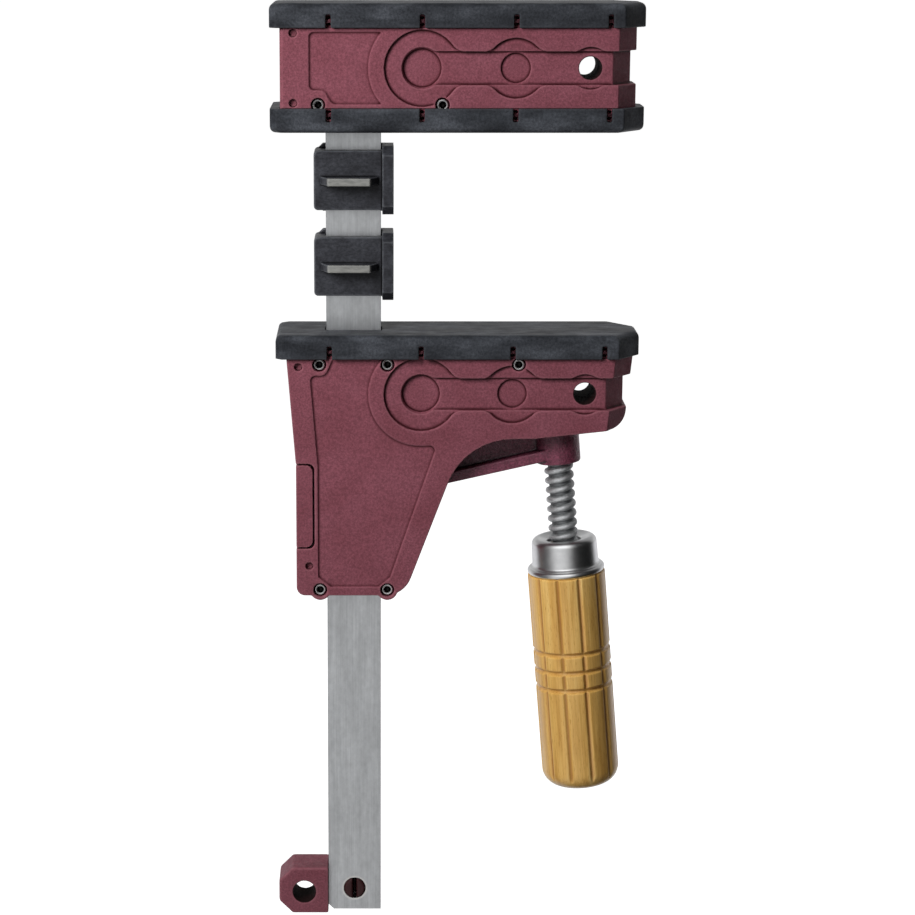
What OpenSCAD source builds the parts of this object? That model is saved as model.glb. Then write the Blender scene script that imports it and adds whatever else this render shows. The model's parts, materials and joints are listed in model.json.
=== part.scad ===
// Parallel clamp: a flat bar, a fixed jaw, a sliding jaw with a rocking arm and a screw, two bar supports
// and an end stop. X runs along the jaws to their tips, Y is the depth, Z runs up the bar.

/* [Bar] */
// Width of the bar
bar_w = 22; // [18:0.5:28]
// Thickness of the bar
bar_t = 8; // [6:0.5:9]
// Cut on the back corner of the bar's foot
bar_cut = 2.2; // [0.5:0.1:3]
// Height of the fixed jaw's clamping face above the bar's foot
fixed_face_z = 328; // [320:1:600]
// Opening between the two clamping faces
opening = 80; // [78:1:120]

/* [Jaws] */
// Reach of the jaws from the bar to the tip of the pads
jaw_reach = 103.5; // [92:0.5:130]
// Length of the fixed jaw's pads behind the bar
fixed_jaw_back = 21.5; // [19:0.5:26]
// Length of the moving jaw's pad behind the bar
moving_jaw_back = 20; // [19:0.5:26]
// Height of the fixed jaw over both pads
fixed_jaw_h = 50; // [46:0.5:60]
// Thickness of the plastic in front of the jaws' inner bay
face_wall = 6; // [5:0.1:7]
// Length of the bevel at the pads' tips, along the jaw
nose_cut_x = 9; // [6:0.5:12]
// Width of the bevel at the pads' tips, across the jaw
nose_cut_y = 12; // [8:0.5:14]
// Length of the bevel at the shells' tips, along the jaw
body_nose_cut = 7.8; // [5:0.1:10]
// Distance from the fixed shells' back to the pads' back end
fixed_back_in = 4; // [3:0.1:5]
// Distance from the fixed shells' tip to the pads' tip
fixed_tip_in = 3.4; // [2:0.1:4]
// Distance from the moving shells' back to the pad's back end
moving_back_in = 3.8; // [3:0.1:5]
// Distance from the moving shells' tip to the pad's tip
moving_tip_in = 1.7; // [1.2:0.1:3]

/* [Pads] */
// Depth of the pads across the jaw
pad_depth = 40; // [38:0.5:48]
// Height of a pad with its skirt
pad_h = 9.5; // [8:0.1:11]
// Thickness of a pad's plate
pad_plate = 4; // [3:0.1:5]
// Thickness of a pad's skirt
pad_wall = 3; // [2.6:0.1:4]
// How far the skirts stand proud of the shells
pad_proud = 2; // [1.5:0.1:2.4]
// Round along the edges of the clamping faces
pad_round = 2.4; // [0.5:0.1:2.6]
// Cut on the pads' back corners
pad_back_cut = 2.4; // [0.5:0.1:4]
// Width of the snap slots in the skirts
slot_w = 2; // [1.8:0.1:3]
// Height of the snap slots in the skirts
slot_h = 5.2; // [4:0.1:5.4]
// Distance of the last snap slot from the pads' tip
last_slot_in = 14.5; // [12:0.1:17]

/* [Relief on the shells] */
// Distance from the bar to the centre of the round pit
pit_from_bar = 16; // [15:0.5:20]
// Radius of the round pit
pit_r = 8; // [6.9:0.1:8.5]
// Radius of the shallow ring round the pit
ring_r = 14.9; // [13:0.1:15.4]
// Depth of the shallow rings
ring_depth = 1.4; // [0.5:0.1:1.6]
// Height of the channel that runs to the tip
channel_h = 13; // [11:0.1:13.4]
// Depth of the channel
channel_depth = 2.5; // [2:0.1:2.8]
// Depth of the pits below the channel
pit_depth = 1; // [0.5:0.1:1.2]
// Radius of the round recess in the middle of the channel
mid_r = 5.9; // [4.5:0.1:6]
// Radius of the shallow swell round the middle recess
mid_swell_r = 11.7; // [9:0.1:13]
// Radius of the hole near the tip
tip_hole_r = 4.4; // [3:0.05:4.7]
// Radius of the shallow swell round the hole
tip_swell_r = 8.2; // [7.5:0.1:9]
// Distance of the hole from the pads' tip
hole_from_tip = 22; // [20:0.5:23]
// Radius of the fillets where the swells meet the channel
swell_fillet = 6; // [3:0.5:8]
// Depth of the flat panels
panel_depth = 0.7; // [0.3:0.1:0.9]
// Radius of the panels' arc round the pit
panel_arc_r = 21; // [18:0.5:22]
// Width of the cuts across the moving panel's lower corners
panel_cut = 5; // [3:0.1:6]
// Height of the panels' notch round an upper screw
notch_h = 5.4; // [4.5:0.1:6.5]

/* [Screws and pegs] */
// Radius of a shell screw's head
screw_head_r = 2.3; // [2:0.1:2.7]
// Height of a shell screw's head
screw_head_h = 2.5; // [2:0.1:3]
// Radius of a shell screw's shank
screw_r = 1.5; // [1.2:0.1:1.6]
// Radius of the locating pegs
peg_r = 1.55; // [1.2:0.05:1.8]
// Depth of the dimple in front of a locating peg
peg_dimple = 2; // [0.6:0.1:2.5]
// Distance of the outer screws from the bar's centreline
screw_from_axis = 13.6; // [13.3:0.1:14]

/* [Moving jaw] */
// Height of the moving jaw from its clamping face to its lower edge
housing_h = 107; // [104:0.5:112]
// Housing behind the bar
housing_back = 12.2; // [11.5:0.1:13]
// Housing in front of the bar at its lower edge
housing_front = 9.4; // [9:0.1:14]
// Distance from the bar to the inner corner under the jaw
corner_from_bar = 33.7; // [30:0.1:40]
// Depth of the jaw beam at the inner corner
beam_h = 42.4; // [41.5:0.1:44]
// Depth of the jaw beam at its tip
beam_tip_h = 38.1; // [37:0.1:40]
// Radius of the inner corner under the jaw
corner_r = 27.5; // [20:0.5:32]
// Height of the heel cover
heel_h = 33.8; // [30:0.1:36]
// Width of the heel cover
heel_w = 6.7; // [6.2:0.1:7]

/* [Arm and screw] */
// Height of the arm's pivot above the housing's lower edge
pivot_rise = 37; // [35:0.5:38]
// Radius of the arm's trunnions
trunnion_r = 6; // [5:0.1:7]
// Height of the arm's collar round the bar
collar_h = 34; // [30:0.5:35]
// Radius of the arm's threaded boss
boss_r = 9.2; // [8:0.1:9.8]
// Height of the arm's underside above the foot of its boss
arm_seat = 2.7; // [0:0.1:3.5]
// Tilt of the screw at rest
screw_tilt = 4.9; // [3:0.1:6]
// Distance of the screw's tip from the pads' tip
screw_from_tip = 33.1; // [31:0.1:34]
// Outside radius of the thread
thread_r = 6; // [5:0.1:6.5]
// Depth of the thread
thread_depth = 1.6; // [1:0.1:2]
// Pitch of the thread
thread_pitch = 4; // [3:0.5:5]

/* [Handle] */
// Radius of the wooden handle
grip_r = 15.9; // [14.5:0.1:18]
// Length of the wooden handle
grip_len = 91.3; // [80:0.1:110]
// Distance from the screw's tip to the ferrule
ferrule_drop = 55.8; // [54:0.1:66]
// Radius of the ferrule's collar
ferrule_r = 13.4; // [12:0.1:13.8]
// Height of the ferrule's collar
ferrule_h = 12; // [8:0.1:14]
// Thickness of the ferrule's flange
flange_h = 2.8; // [2:0.1:4]
// Number of flutes along the handle
flute_count = 11; // [8:1:14]
// Depth of the flutes
flute_depth = 0.9; // [0.5:0.1:2]
// Depth of the turned grooves
groove_depth = 1; // [0.5:0.1:1.6]
// Width of the turned grooves
groove_w = 2.2; // [1.5:0.1:3]
// Distance from the handle's top to the first turned groove
groove_drop = 32.2; // [25:0.1:40]
// Spacing of the turned grooves
groove_pitch = 7.65; // [6:0.05:9]

/* [Bar supports] */
// Height of a support's front plate
support_h = 23.6; // [20:0.1:25]
// Height of a support's flange and back plate
support_flange_h = 27; // [26:0.5:28]
// Cut on the corners of a support's flange and back plate
support_cut = 3.4; // [1:0.1:4]
// Thickness of a support's flange
support_flange_t = 4.5; // [3:0.1:6]
// Wall of a support round the bar
support_wall = 4.7; // [3:0.1:6]
// How far a support's flange reaches past its block on each side
support_flange_lip = 3; // [1:0.1:4]
// Reach of the finger fin
fin_reach = 8; // [5:0.1:9]
// Thickness of the finger fin
fin_t = 3; // [2.5:0.1:5]
// Gap between the fixed jaw and the upper support
support_gap = 6; // [5.5:0.1:7]
// Gap between the two supports
support_spacing = 7.3; // [7:0.1:8]

/* [End stop] */
// Length of the end stop behind the bar
stop_len = 20.7; // [18:0.1:26]
// Height of the end stop
stop_h = 20; // [18:0.5:24]
// Thickness of the end stop
stop_t = 17; // [14:0.5:20]
// Corner cuts on the end stop
stop_cut = 5.6; // [3:0.1:6]
// Radius of the end stop's hole
stop_hole_r = 4.7; // [3:0.1:5]
// Distance of the end stop's hole from the bar
stop_hole_in = 10.1; // [9:0.1:11]
// Radius of the snap peg through the bar
snap_r = 4.5; // [3.5:0.1:5]

/* [Hidden] */
$fn = 64;

// Clearances
slide_gap = 0.2;
bar_gap = 0.4;
run_gap = 0.05;
seat_gap = 0.3;
over = 1;

// Colours
wine = [0.38, 0.13, 0.18];
black = [0.1, 0.1, 0.11];
steel = [0.66, 0.68, 0.7];
iron = [0.4, 0.4, 0.42];
beech = [0.8, 0.58, 0.3];

// Depths across the jaws, from the middle plane
half_pad = pad_depth / 2;
half_body = half_pad - pad_proud;
half_rim = half_pad - pad_wall;
half_bay = half_body - face_wall;
half_bar_w = bar_w / 2;
half_bar_t = bar_t / 2;

// Places along the jaws
fixed_pad_x0 = -half_bar_w - fixed_jaw_back;
moving_pad_x0 = -half_bar_w - moving_jaw_back;
pad_x1 = half_bar_w + jaw_reach;
fixed_x0 = fixed_pad_x0 + fixed_back_in;
fixed_x1 = pad_x1 - fixed_tip_in;
moving_x0 = moving_pad_x0 + moving_back_in;
moving_x1 = pad_x1 - moving_tip_in;
pit_x = half_bar_w + pit_from_bar;
slot_pitch = (pad_x1 - last_slot_in - pit_x) / 2;
slot_xs = [for (i = [-1 : 2]) pit_x + i * slot_pitch];
mid_x = pit_x + slot_pitch;
hole_x = pad_x1 - hole_from_tip;
nose_slope = nose_cut_y / nose_cut_x;
channel_tip = 2.1;
swell_dip = 0.1;
pit_fillet = 3;
pit_step = 0.4;
body_back_cut = 1;
back_x = -half_bar_w - max(fixed_jaw_back, moving_jaw_back, stop_len);
origin_x = (back_x + pad_x1) / 2;

// Heights
moving_face_z = fixed_face_z - opening;
fixed_z0 = fixed_face_z + pad_plate;
fixed_top_z = fixed_face_z + fixed_jaw_h;
fixed_z1 = fixed_top_z - pad_plate;
fixed_mid_z = fixed_face_z + fixed_jaw_h / 2;
moving_z1 = moving_face_z - pad_plate;
relief_drop = 24;
moving_mid_z = moving_face_z - relief_drop;
housing_z0 = moving_face_z - housing_h;
pivot_z = housing_z0 + pivot_rise;

// Shell screws and pegs, as places along the jaw and heights
head_seat_y = -half_rim + screw_head_h;
screw_tail = half_bay + 3;
counterbore_r = screw_head_r + 0.5;
fixed_screw_z = fixed_face_z + pad_h + 1.3;
fixed_screw_reach = 24;
fixed_screws = [[-screw_from_axis, fixed_screw_z], [half_bar_w + fixed_screw_reach, fixed_screw_z]];
moving_screw_z = moving_face_z - pad_h - 2.5;
foot_screw_z = housing_z0 + 2.3;
moving_screw_reach = 55;
moving_screws = [
    [-screw_from_axis, moving_screw_z], [screw_from_axis, moving_screw_z],
    [half_bar_w + moving_screw_reach, moving_screw_z], [-screw_from_axis, foot_screw_z],
    [screw_from_axis, foot_screw_z]
];
peg_inset = 5.2;
fixed_peg_z = 13.5;
fixed_pegs = [for (s = [-1, 1]) [fixed_x0 + peg_inset, fixed_mid_z + s * fixed_peg_z]];
housing_x0 = -half_bar_w - housing_back;
foot_peg_rise = 12.3;
moving_peg_drop = 0.9;
moving_pegs = [
    [moving_x0 + peg_inset, moving_screw_z - moving_peg_drop],
    [housing_x0 + peg_inset, housing_z0 + foot_peg_rise]
];

// Fixed jaw bay
bay_back = 5;
hole_wall = 9.5;
bay_floor = 14.5;
bay_roof = 3;
bay_x0 = -half_bar_w - bay_back;
fixed_bay_x1 = hole_x - hole_wall;
fixed_bay_z0 = fixed_face_z + bay_floor;
fixed_bay_z1 = fixed_z1 - bay_roof;
lock_pin_r = 4;
lock_pin_z = (fixed_bay_z0 + fixed_bay_z1) / 2;
bar_top_z = fixed_bay_z1 - 2;
core_flange = 4;
fixed_web = half_bay * 0.45;
core_block_x = half_bar_w + 6;

// Screw, arm and thrust pieces; the screw's own axis starts at the tip of the thrust shoe
tip_x = pad_x1 - screw_from_tip;
tip_drop = 30.8;
tip_z = moving_face_z - tip_drop;
plate_t = 3;
plate_z0 = tip_z + seat_gap;
core_z0 = plate_z0 + plate_t;
core_z1 = moving_z1 - bay_roof;
core_x1 = tip_x + 3.6;
plate_x0 = tip_x - 11.4;
plate_x1 = tip_x + 6.6;
guide_wall_x = 4.5;
guide_wall_y = 4.5;
guide_top_z = moving_screw_z - screw_r - 2.5;
lower_guide_z0 = foot_screw_z + 4.2;
lower_guide_h = 9;
collar_gap_x = 1.6;
collar_gap_y = 0.6;
collar_wall = 5.4;
collar_x = half_bar_w + collar_gap_x + collar_wall;
collar_y = min(half_bay - 2.5, half_bar_t + 5.5);
trunnion_depth = 3;
arm_web = 3.5;
arm_flange_y = 8.2;
arm_flange_t = 4.5;
arm_h = 18.6;
arm_foot_z = pivot_z + 2.8;
boss_top = 5.6;
boss_len = 18.6;
shoe_r = 5.2;
shoe_len = 5;
shoe_bore = 3.2;
neck_r = 3;
neck_len = 5;
tang_r = 5;
tang_len = 60;

// Handle
grip_top = ferrule_drop + ferrule_h + flange_h;
ferrule_wall = 1.3;
grip_end_r = 7;
flute_turn = 23;
flange_r = grip_r - 0.05;

// Supports
support_x0 = -half_bar_w - support_wall;
support_x1 = half_bar_w + 0.5;
support_y = half_bar_t + support_wall;
upper_support_z = fixed_face_z - support_gap - support_flange_h / 2;
lower_support_z = upper_support_z - support_flange_h - support_spacing;
support_round = 1.6;

// Snap peg and end stop
snap_z = stop_h / 2 - 0.6;
snap_slit = 1.5;
snap_proud = 1;
tongue_t = stop_t / 2 - half_bar_t;

// Shapes that repeat

function unit(v) = v / norm(v);

// A corner at b, between a and c, rounded to radius r
function corner(a, b, c, r) =
    r <= 0 ? [b] :
    let (u = unit(a - b), v = unit(c - b), half = acos(u * v) / 2, reach = r / tan(half),
         mid = b + unit(u + v) * r / sin(half), p = b + u * reach - mid, q = b + v * reach - mid, steps = 8)
    [for (i = [0 : steps]) mid + r * unit(p * (steps - i) + q * i)];

// An outline from corners given as [x, z, radius]
function rounded(list) =
    let (n = len(list), at = function (i) [list[i % n][0], list[i % n][1]])
    [for (i = [0 : n - 1]) each corner(at(i + n - 1), at(i), at(i + 1), list[i][2])];

// Plan of a jaw seen from above, with its bevelled tip and cut back corners
function jaw_plan(x0, x1, half, tip_cut, back_cut) =
    let (side = tip_cut * nose_slope)
    [[x0 + back_cut, -half], [x1 - tip_cut, -half], [x1, -half + side], [x1, half - side],
     [x1 - tip_cut, half], [x0 + back_cut, half], [x0, half - back_cut], [x0, -half + back_cut]];

module along_y(y0, y1) {
    translate([0, y1, 0]) rotate([90, 0, 0]) linear_extrude(y1 - y0) children();
}

module slab(x0, x1, y0, y1, z0, z1) {
    translate([x0, y0, z0]) cube([x1 - x0, y1 - y0, z1 - z0]);
}

module along_bar(z0, z1) {
    translate([0, 0, z0]) linear_extrude(z1 - z0) children();
}

module y_rod(place, r, y0, y1) {
    translate([place[0], y1, place[1]]) rotate([90, 0, 0]) cylinder(r = r, h = y1 - y0);
}

module placed() {
    translate([-origin_x, 0, 0]) children();
}

// The screw's own frame: its tip at the origin, its axis running down
module on_screw_axis() {
    translate([tip_x, 0, tip_z]) rotate([0, -screw_tilt, 0]) children();
}

module rim_plan(x0, x1) {
    intersection() {
        polygon(jaw_plan(x0, x1, half_body, body_nose_cut, body_back_cut));
        translate([x0, -half_rim]) square([x1 - x0, 2 * half_rim]);
    }
}

// Upper edge of a round swell of radius r, from its middle to where a fillet runs into the channel
function swell_side(r, fillet) =
    let (edge = channel_h / 2 - swell_dip, span = r + fillet, turn = asin((edge + fillet) / span),
         centre = span * [cos(turn), sin(turn)], steps = 8)
    concat([for (i = [0 : steps]) let (a = 90 + (turn - 90) * i / steps) r * [cos(a), sin(a)]],
           [for (i = [1 : steps]) let (a = 180 + turn + (90 - turn) * i / steps)
               centre + fillet * [cos(a), sin(a)]]);

function scaled(points, sx, sz) = [for (p = points) [sx * p[0], sz * p[1]]];
function reversed(points) = [for (i = [len(points) - 1 : -1 : 0]) points[i]];
function inner(points) = [for (i = [1 : len(points) - 2]) points[i]];

// Half of a swell, from its top round the right to its bottom; an open one runs into the channel
function swell_half(r, open, fillet) =
    open ? concat(swell_side(r, fillet), reversed(scaled(swell_side(r, fillet), 1, -1)))
         : let (steps = 24) [for (i = [0 : steps]) let (a = 90 - 180 * i / steps) r * [cos(a), sin(a)]];

// The shallow outline round a pit or hole: a swell that runs into the channel on its right, or on both sides
module swell(r, both, fillet = swell_fillet) {
    left = scaled(swell_half(r, both, fillet), -1, 1);
    polygon(concat(swell_half(r, true, fillet), inner(reversed(left))));
}

// What the relief takes out of the front of a jaw whose channel lies at height z
module relief(z, x0, x1) {
    face = -half_body;
    along_y(face - over, face + ring_depth) translate([0, z]) {
        translate([pit_x, 0]) swell(ring_r, false);
        translate([mid_x, 0]) swell(mid_swell_r, true);
        translate([hole_x, 0]) swell(tip_swell_r, true);
    }
    difference() {
        slab(pit_x, x1 + over, face - over, 0, z - channel_h / 2, z + channel_h / 2);
        along_bar(z - channel_h, z + channel_h)
            polygon(jaw_plan(x0, x1 - channel_tip, half_body - channel_depth, body_nose_cut, body_back_cut));
    }
    floor_y = face + channel_depth + pit_depth;
    along_y(face - over, face + channel_depth - swell_dip)
        translate([pit_x, z]) swell(pit_r, false, pit_fillet);
    y_rod([pit_x, z], pit_r - pit_step, face - over, floor_y);
    y_rod([mid_x, z], mid_r, face - over, floor_y);
}

// Room behind the pad's skirt, between heights z0 and z1
module rim_cut(x0, x1, z0, z1) {
    difference() {
        slab(x0 - over, x1 + over, -half_body - over, 0, z0, z1);
        along_bar(z0 - over, z1 + over) rim_plan(x0, x1);
    }
}

// Pockets in the front of a shell behind the snap slots, whose middle lies at height z
module pockets(z) {
    for (x = slot_xs) {
        slab(x - slot_w / 2, x + slot_w / 2, -half_body - over, -half_rim + pocket_depth,
             z - pocket_h / 2, z + pocket_h / 2);
    }
}

// Snap catches in the pockets
module catches(z) {
    for (x = slot_xs) {
        slab(x - catch_w / 2, x + catch_w / 2, -half_rim - catch_proud, -half_rim + pocket_depth + over,
             z - catch_h / 2, z + catch_h / 2);
    }
}

// Screw and peg holes of the front shell
module front_holes(screws, pegs) {
    for (s = screws) {
        y_rod(s, screw_r, -half_body, over);
        y_rod(s, counterbore_r, -half_body - over, head_seat_y);
    }
    for (p = pegs) y_rod(p, peg_r + run_gap, -half_body - over, over);
}

// A moulded half faces the front; the rear half is its mirror image
module rear() {
    mirror([0, 1, 0]) children();
}

module pegs(list) {
    for (p = list) y_rod(p, peg_r, -half_body + peg_dimple, over);
}

module shell_screws(list) {
    socket_r = screw_head_r * 0.6;
    socket_depth = screw_head_h * 0.8;
    for (s = list) difference() {
        union() {
            y_rod(s, screw_head_r, -half_rim, head_seat_y);
            y_rod(s, screw_r, head_seat_y - screw_head_h / 2, screw_tail);
        }
        translate([s[0], -half_rim, s[1]]) rotate([90, 0, 0])
            translate([0, 0, -socket_depth]) cylinder(r = socket_r, h = screw_head_h, $fn = 6);
    }
}

// Plan of a pad that starts at pad_x0, drawn in all round by an inset
function pad_plan(pad_x0, inset) =
    jaw_plan(pad_x0 + inset, pad_x1 - inset, half_pad - inset, nose_cut_x, pad_back_cut);

// A pad whose clamping face lies at z = 0 and looks up; its pocket takes the rim of the shells
module pad(pad_x0, x0, x1, with_bar) {
    difference() {
        hull() {
            along_bar(-pad_h, -pad_round) polygon(pad_plan(pad_x0, 0));
            for (a = [0 : 22.5 : 90]) {
                along_bar(-2 * pad_round, pad_round * (sin(a) - 1))
                    polygon(pad_plan(pad_x0, pad_round * (1 - cos(a))));
            }
        }
        along_bar(-pad_h - over, -pad_plate) rim_plan(x0, x1);
        if (with_bar) {
            slab(-half_bar_w - bar_gap, half_bar_w + bar_gap, -half_bar_t - bar_gap, half_bar_t + bar_gap,
                 -pad_h, over);
        }
        for (x = slot_xs, s = [-1, 1]) {
            slab(x - slot_w / 2, x + slot_w / 2, s > 0 ? half_rim - over : -half_pad - over,
                 s > 0 ? half_pad + over : -half_rim + over, -pad_h - over, -pad_h + slot_h);
        }
    }
}

// Snap catches and their pockets; catch_rise is the height of their middle above the skirt's edge
catch_w = slot_w * 0.6;
catch_h = slot_h * 0.3;
catch_proud = 0.6;
catch_rise = slot_h / 2;
pocket_h = slot_h - 1.6;
pocket_depth = 2.6;

// Bar and fixed jaw

module bar() {
    color(steel) placed() difference() {
        slab(-half_bar_w, half_bar_w, -half_bar_t, half_bar_t, 0, bar_top_z);
        translate([-half_bar_w, 0, 0]) rotate([0, 45, 0])
            cube([bar_cut * sqrt(2), bar_t * 2, bar_cut * sqrt(2)], center = true);
        y_rod([0, snap_z], snap_r + run_gap, -half_bar_t - over, half_bar_t + over);
        y_rod([0, lock_pin_z], lock_pin_r, -half_bar_t - over, half_bar_t + over);
    }
}

module fixed_jaw_core() {
    color(iron) placed() difference() {
        union() {
            slab(bay_x0, core_block_x, -half_bay, half_bay, fixed_bay_z0, fixed_bay_z1);
            slab(core_block_x, fixed_bay_x1, -fixed_web, fixed_web, fixed_bay_z0, fixed_bay_z1);
            for (z = [fixed_bay_z0, fixed_bay_z1 - core_flange]) {
                slab(core_block_x, fixed_bay_x1, -half_bay, half_bay, z, z + core_flange);
            }
        }
        slab(-half_bar_w, half_bar_w, -half_bar_t, half_bar_t, fixed_bay_z0 - over, bar_top_z);
        y_rod([0, lock_pin_z], lock_pin_r, -half_bay - over, half_bay + over);
    }
}

module fixed_jaw_lock_pin() {
    color(steel) placed() y_rod([0, lock_pin_z], lock_pin_r, -half_bay, half_bay);
}

// The front half of the fixed jaw, without what differs between front and rear
module fixed_half() {
    difference() {
        intersection() {
            along_bar(fixed_z0, fixed_z1)
                polygon(jaw_plan(fixed_x0, fixed_x1, half_body, body_nose_cut, body_back_cut));
            slab(fixed_pad_x0, pad_x1, -half_pad, 0, fixed_z0, fixed_z1);
        }
        rim_cut(fixed_x0, fixed_x1, fixed_z0 - over, fixed_face_z + pad_h);
        rim_cut(fixed_x0, fixed_x1, fixed_top_z - pad_h, fixed_z1 + over);
        relief(fixed_mid_z, fixed_x0, fixed_x1);
        along_y(-half_body - over, -half_body + panel_depth) fixed_panel();
        slab(bay_x0, fixed_bay_x1, -half_bay, over, fixed_bay_z0, fixed_bay_z1);
        slab(-half_bar_w - slide_gap, half_bar_w + slide_gap, -half_bar_t - slide_gap, over,
             fixed_z0 - over, fixed_bay_z0 + over);
        y_rod([hole_x, fixed_mid_z], tip_hole_r, -half_body - over, over);
        pockets(fixed_face_z + pad_h - catch_rise);
        pockets(fixed_top_z - pad_h + catch_rise);
    }
    catches(fixed_face_z + pad_h - catch_rise);
    catches(fixed_top_z - pad_h + catch_rise);
}

panel_inset = 1.5;
panel_corner = 2;
panel_edge = 8.8;
panel_peg_room = 6.2;
notch_r = 3;
notch_x0 = 2.4;
notch_x1 = 5.4;

// Flat panel at the back of the fixed jaw, notched round the screw and cut round the pit
module fixed_panel() {
    x0 = fixed_x0 + peg_inset + panel_peg_room;
    z0 = fixed_face_z + pad_h + panel_inset;
    z1 = fixed_top_z - pad_h - panel_inset;
    screw_x = fixed_screws[0][0];
    difference() {
        polygon(rounded([
            [x0, z1, panel_corner], [x0, z0 + notch_h, panel_corner],
            [screw_x + notch_x0, z0 + notch_h, notch_r],
            [screw_x + notch_x1, z0, notch_r], [pit_x, z0, 0], [pit_x, z1, 0]
        ]));
        translate([pit_x, fixed_mid_z]) circle(panel_arc_r);
    }
}

module fixed_jaw_front_shell() {
    color(wine) placed() difference() {
        fixed_half();
        front_holes(fixed_screws, fixed_pegs);
    }
}

module fixed_jaw_rear_shell() {
    color(wine) placed() {
        difference() {
            rear() fixed_half();
            for (s = fixed_screws) y_rod(s, screw_r, -over, screw_tail);
        }
        pegs(fixed_pegs);
    }
}

module fixed_jaw_upper_pad() {
    color(black) placed() translate([0, 0, fixed_top_z]) pad(fixed_pad_x0, fixed_x0, fixed_x1, false);
}

module fixed_jaw_lower_pad() {
    color(black) placed() translate([0, 0, fixed_face_z])
        mirror([0, 0, 1]) pad(fixed_pad_x0, fixed_x0, fixed_x1, true);
}

module fixed_jaw_screws() {
    color(steel) placed() shell_screws(fixed_screws);
}

module end_stop() {
    back = -half_bar_w - stop_len;
    hole_x = -half_bar_w - stop_hole_in;
    tongue_x = snap_r + 2.5;
    color(wine) placed() {
        difference() {
            along_y(-stop_t / 2, stop_t / 2)
                polygon([[-half_bar_w, 0], [-half_bar_w, stop_h], [back + stop_cut, stop_h],
                         [back, stop_h - stop_cut], [back, stop_cut], [back + stop_cut, 0]]);
            y_rod([hole_x, snap_z], stop_hole_r, -stop_t, stop_t);
        }
        slab(-half_bar_w - over, tongue_x, half_bar_t, half_bar_t + tongue_t,
            snap_z - tongue_x, snap_z + tongue_x);
        difference() {
            y_rod([0, snap_z], snap_r, -half_bar_t - snap_proud, half_bar_t + over);
            slab(-snap_slit / 2, snap_slit / 2, -bar_t, half_bar_t - over, snap_z - snap_r, snap_z + snap_r);
        }
    }
}

// Moving jaw

beam_corner_x = half_bar_w + corner_from_bar;
beam_z0 = moving_face_z - beam_h;
tip_z0 = moving_face_z - beam_tip_h;
housing_x1 = half_bar_w + housing_front;
heel_mid_z = pivot_z + 0.1;
heel_x1 = housing_x0 + heel_w;
heel_back = 2.5;
lobe_r = 4.2;
taper_z = heel_mid_z + heel_h / 2;
tip_lean = 3.5;
belly_back = 40.5;
belly_rise = 0.3;
belly_r = 20;
foot_r = 11;
heel_r = 3.5;
chin_r = 6.5;
nose_lean = atan(tip_lean / (moving_z1 - tip_z0));

// Place of the moving jaw's tip at height z
function nose_x(z) = moving_x1 - (moving_z1 - z) * tan(nose_lean);

// Leans a piece back below the moving jaw's pad, as its tip leans
module leaned() {
    translate([moving_x1, 0, moving_z1]) rotate([0, nose_lean, 0])
        translate([-moving_x1, 0, -moving_z1]) children();
}

// Side outline of the moving jaw below its pad
module moving_outline() {
    polygon(rounded([
        [moving_x0, moving_z1, 0], [housing_x0, taper_z, 0], [housing_x0, housing_z0, heel_r],
        [housing_x1, housing_z0, foot_r], [beam_corner_x, beam_z0, corner_r],
        [moving_x1 - belly_back, beam_z0 + belly_rise, belly_r],
        [moving_x1 - tip_lean, tip_z0, chin_r], [moving_x1, moving_z1, 0]
    ]));
    for (s = [-1, 1]) translate([s * screw_from_axis, foot_screw_z]) circle(lobe_r);
}

slant = unit([beam_corner_x - housing_x1, beam_z0 - housing_z0]);

// A place on the slanted front edge of the housing, moved back by inset, at height z
function slant_x(z, inset) = housing_x1 + (z - housing_z0) * slant[0] / slant[1] - inset / slant[1];

panel_front = 7.9;
panel_foot = 3.6;
panel_step_x = 6.5;
panel_meet = 0.15;

// Flat panel on the housing, notched round a screw, cut across its lower corners and cut round the pit
module moving_panel() {
    z0 = housing_z0 + panel_foot;
    z1 = moving_face_z - pad_h;
    step_z = moving_mid_z - panel_arc_r + panel_meet;
    cut_z = z0 + panel_cut * 0.8;
    notch_z = z1 - panel_inset - notch_h;
    screw_x = moving_screws[0][0];
    difference() {
        polygon(rounded([
            [housing_x0 + panel_edge, cut_z, 1], [housing_x0 + panel_edge + panel_cut, z0, 1],
            [screw_from_axis - panel_cut * 0.7, z0, 1], [slant_x(cut_z, panel_front), cut_z, 1],
            [pit_x + panel_step_x, step_z, panel_corner], [pit_x, step_z, 0], [pit_x, z1, 0],
            [screw_x + notch_x1, z1, 0], [screw_x + notch_x0, notch_z, notch_r],
            [moving_x0 + panel_edge + 1, notch_z, panel_corner], [housing_x0 + panel_edge, taper_z, 0]
        ]));
        translate([pit_x, moving_mid_z]) circle(panel_arc_r);
    }
}

arm_bay_wall = 3;
arm_exit_z = pivot_z - 6;
boss_room = 13.5;
bay_tip_x = tip_x + boss_room;

// Bay for the arm, open under the jaw: the housing's inside, and the room round the boss
module arm_bay() {
    polygon([
        [bay_x0, lower_guide_z0], [slant_x(lower_guide_z0, arm_bay_wall), lower_guide_z0],
        [slant_x(arm_exit_z, arm_bay_wall), arm_exit_z], [bay_tip_x, arm_exit_z], [bay_tip_x, plate_z0],
        [plate_x1, plate_z0], [plate_x1, core_z0], [bay_x0, core_z0]
    ]);
}

heel_room = 4.5;
heel_gap = 0.7;
heel_corner = 2.6;
heel_bay_x = housing_x0 + heel_back + seat_gap;

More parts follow.
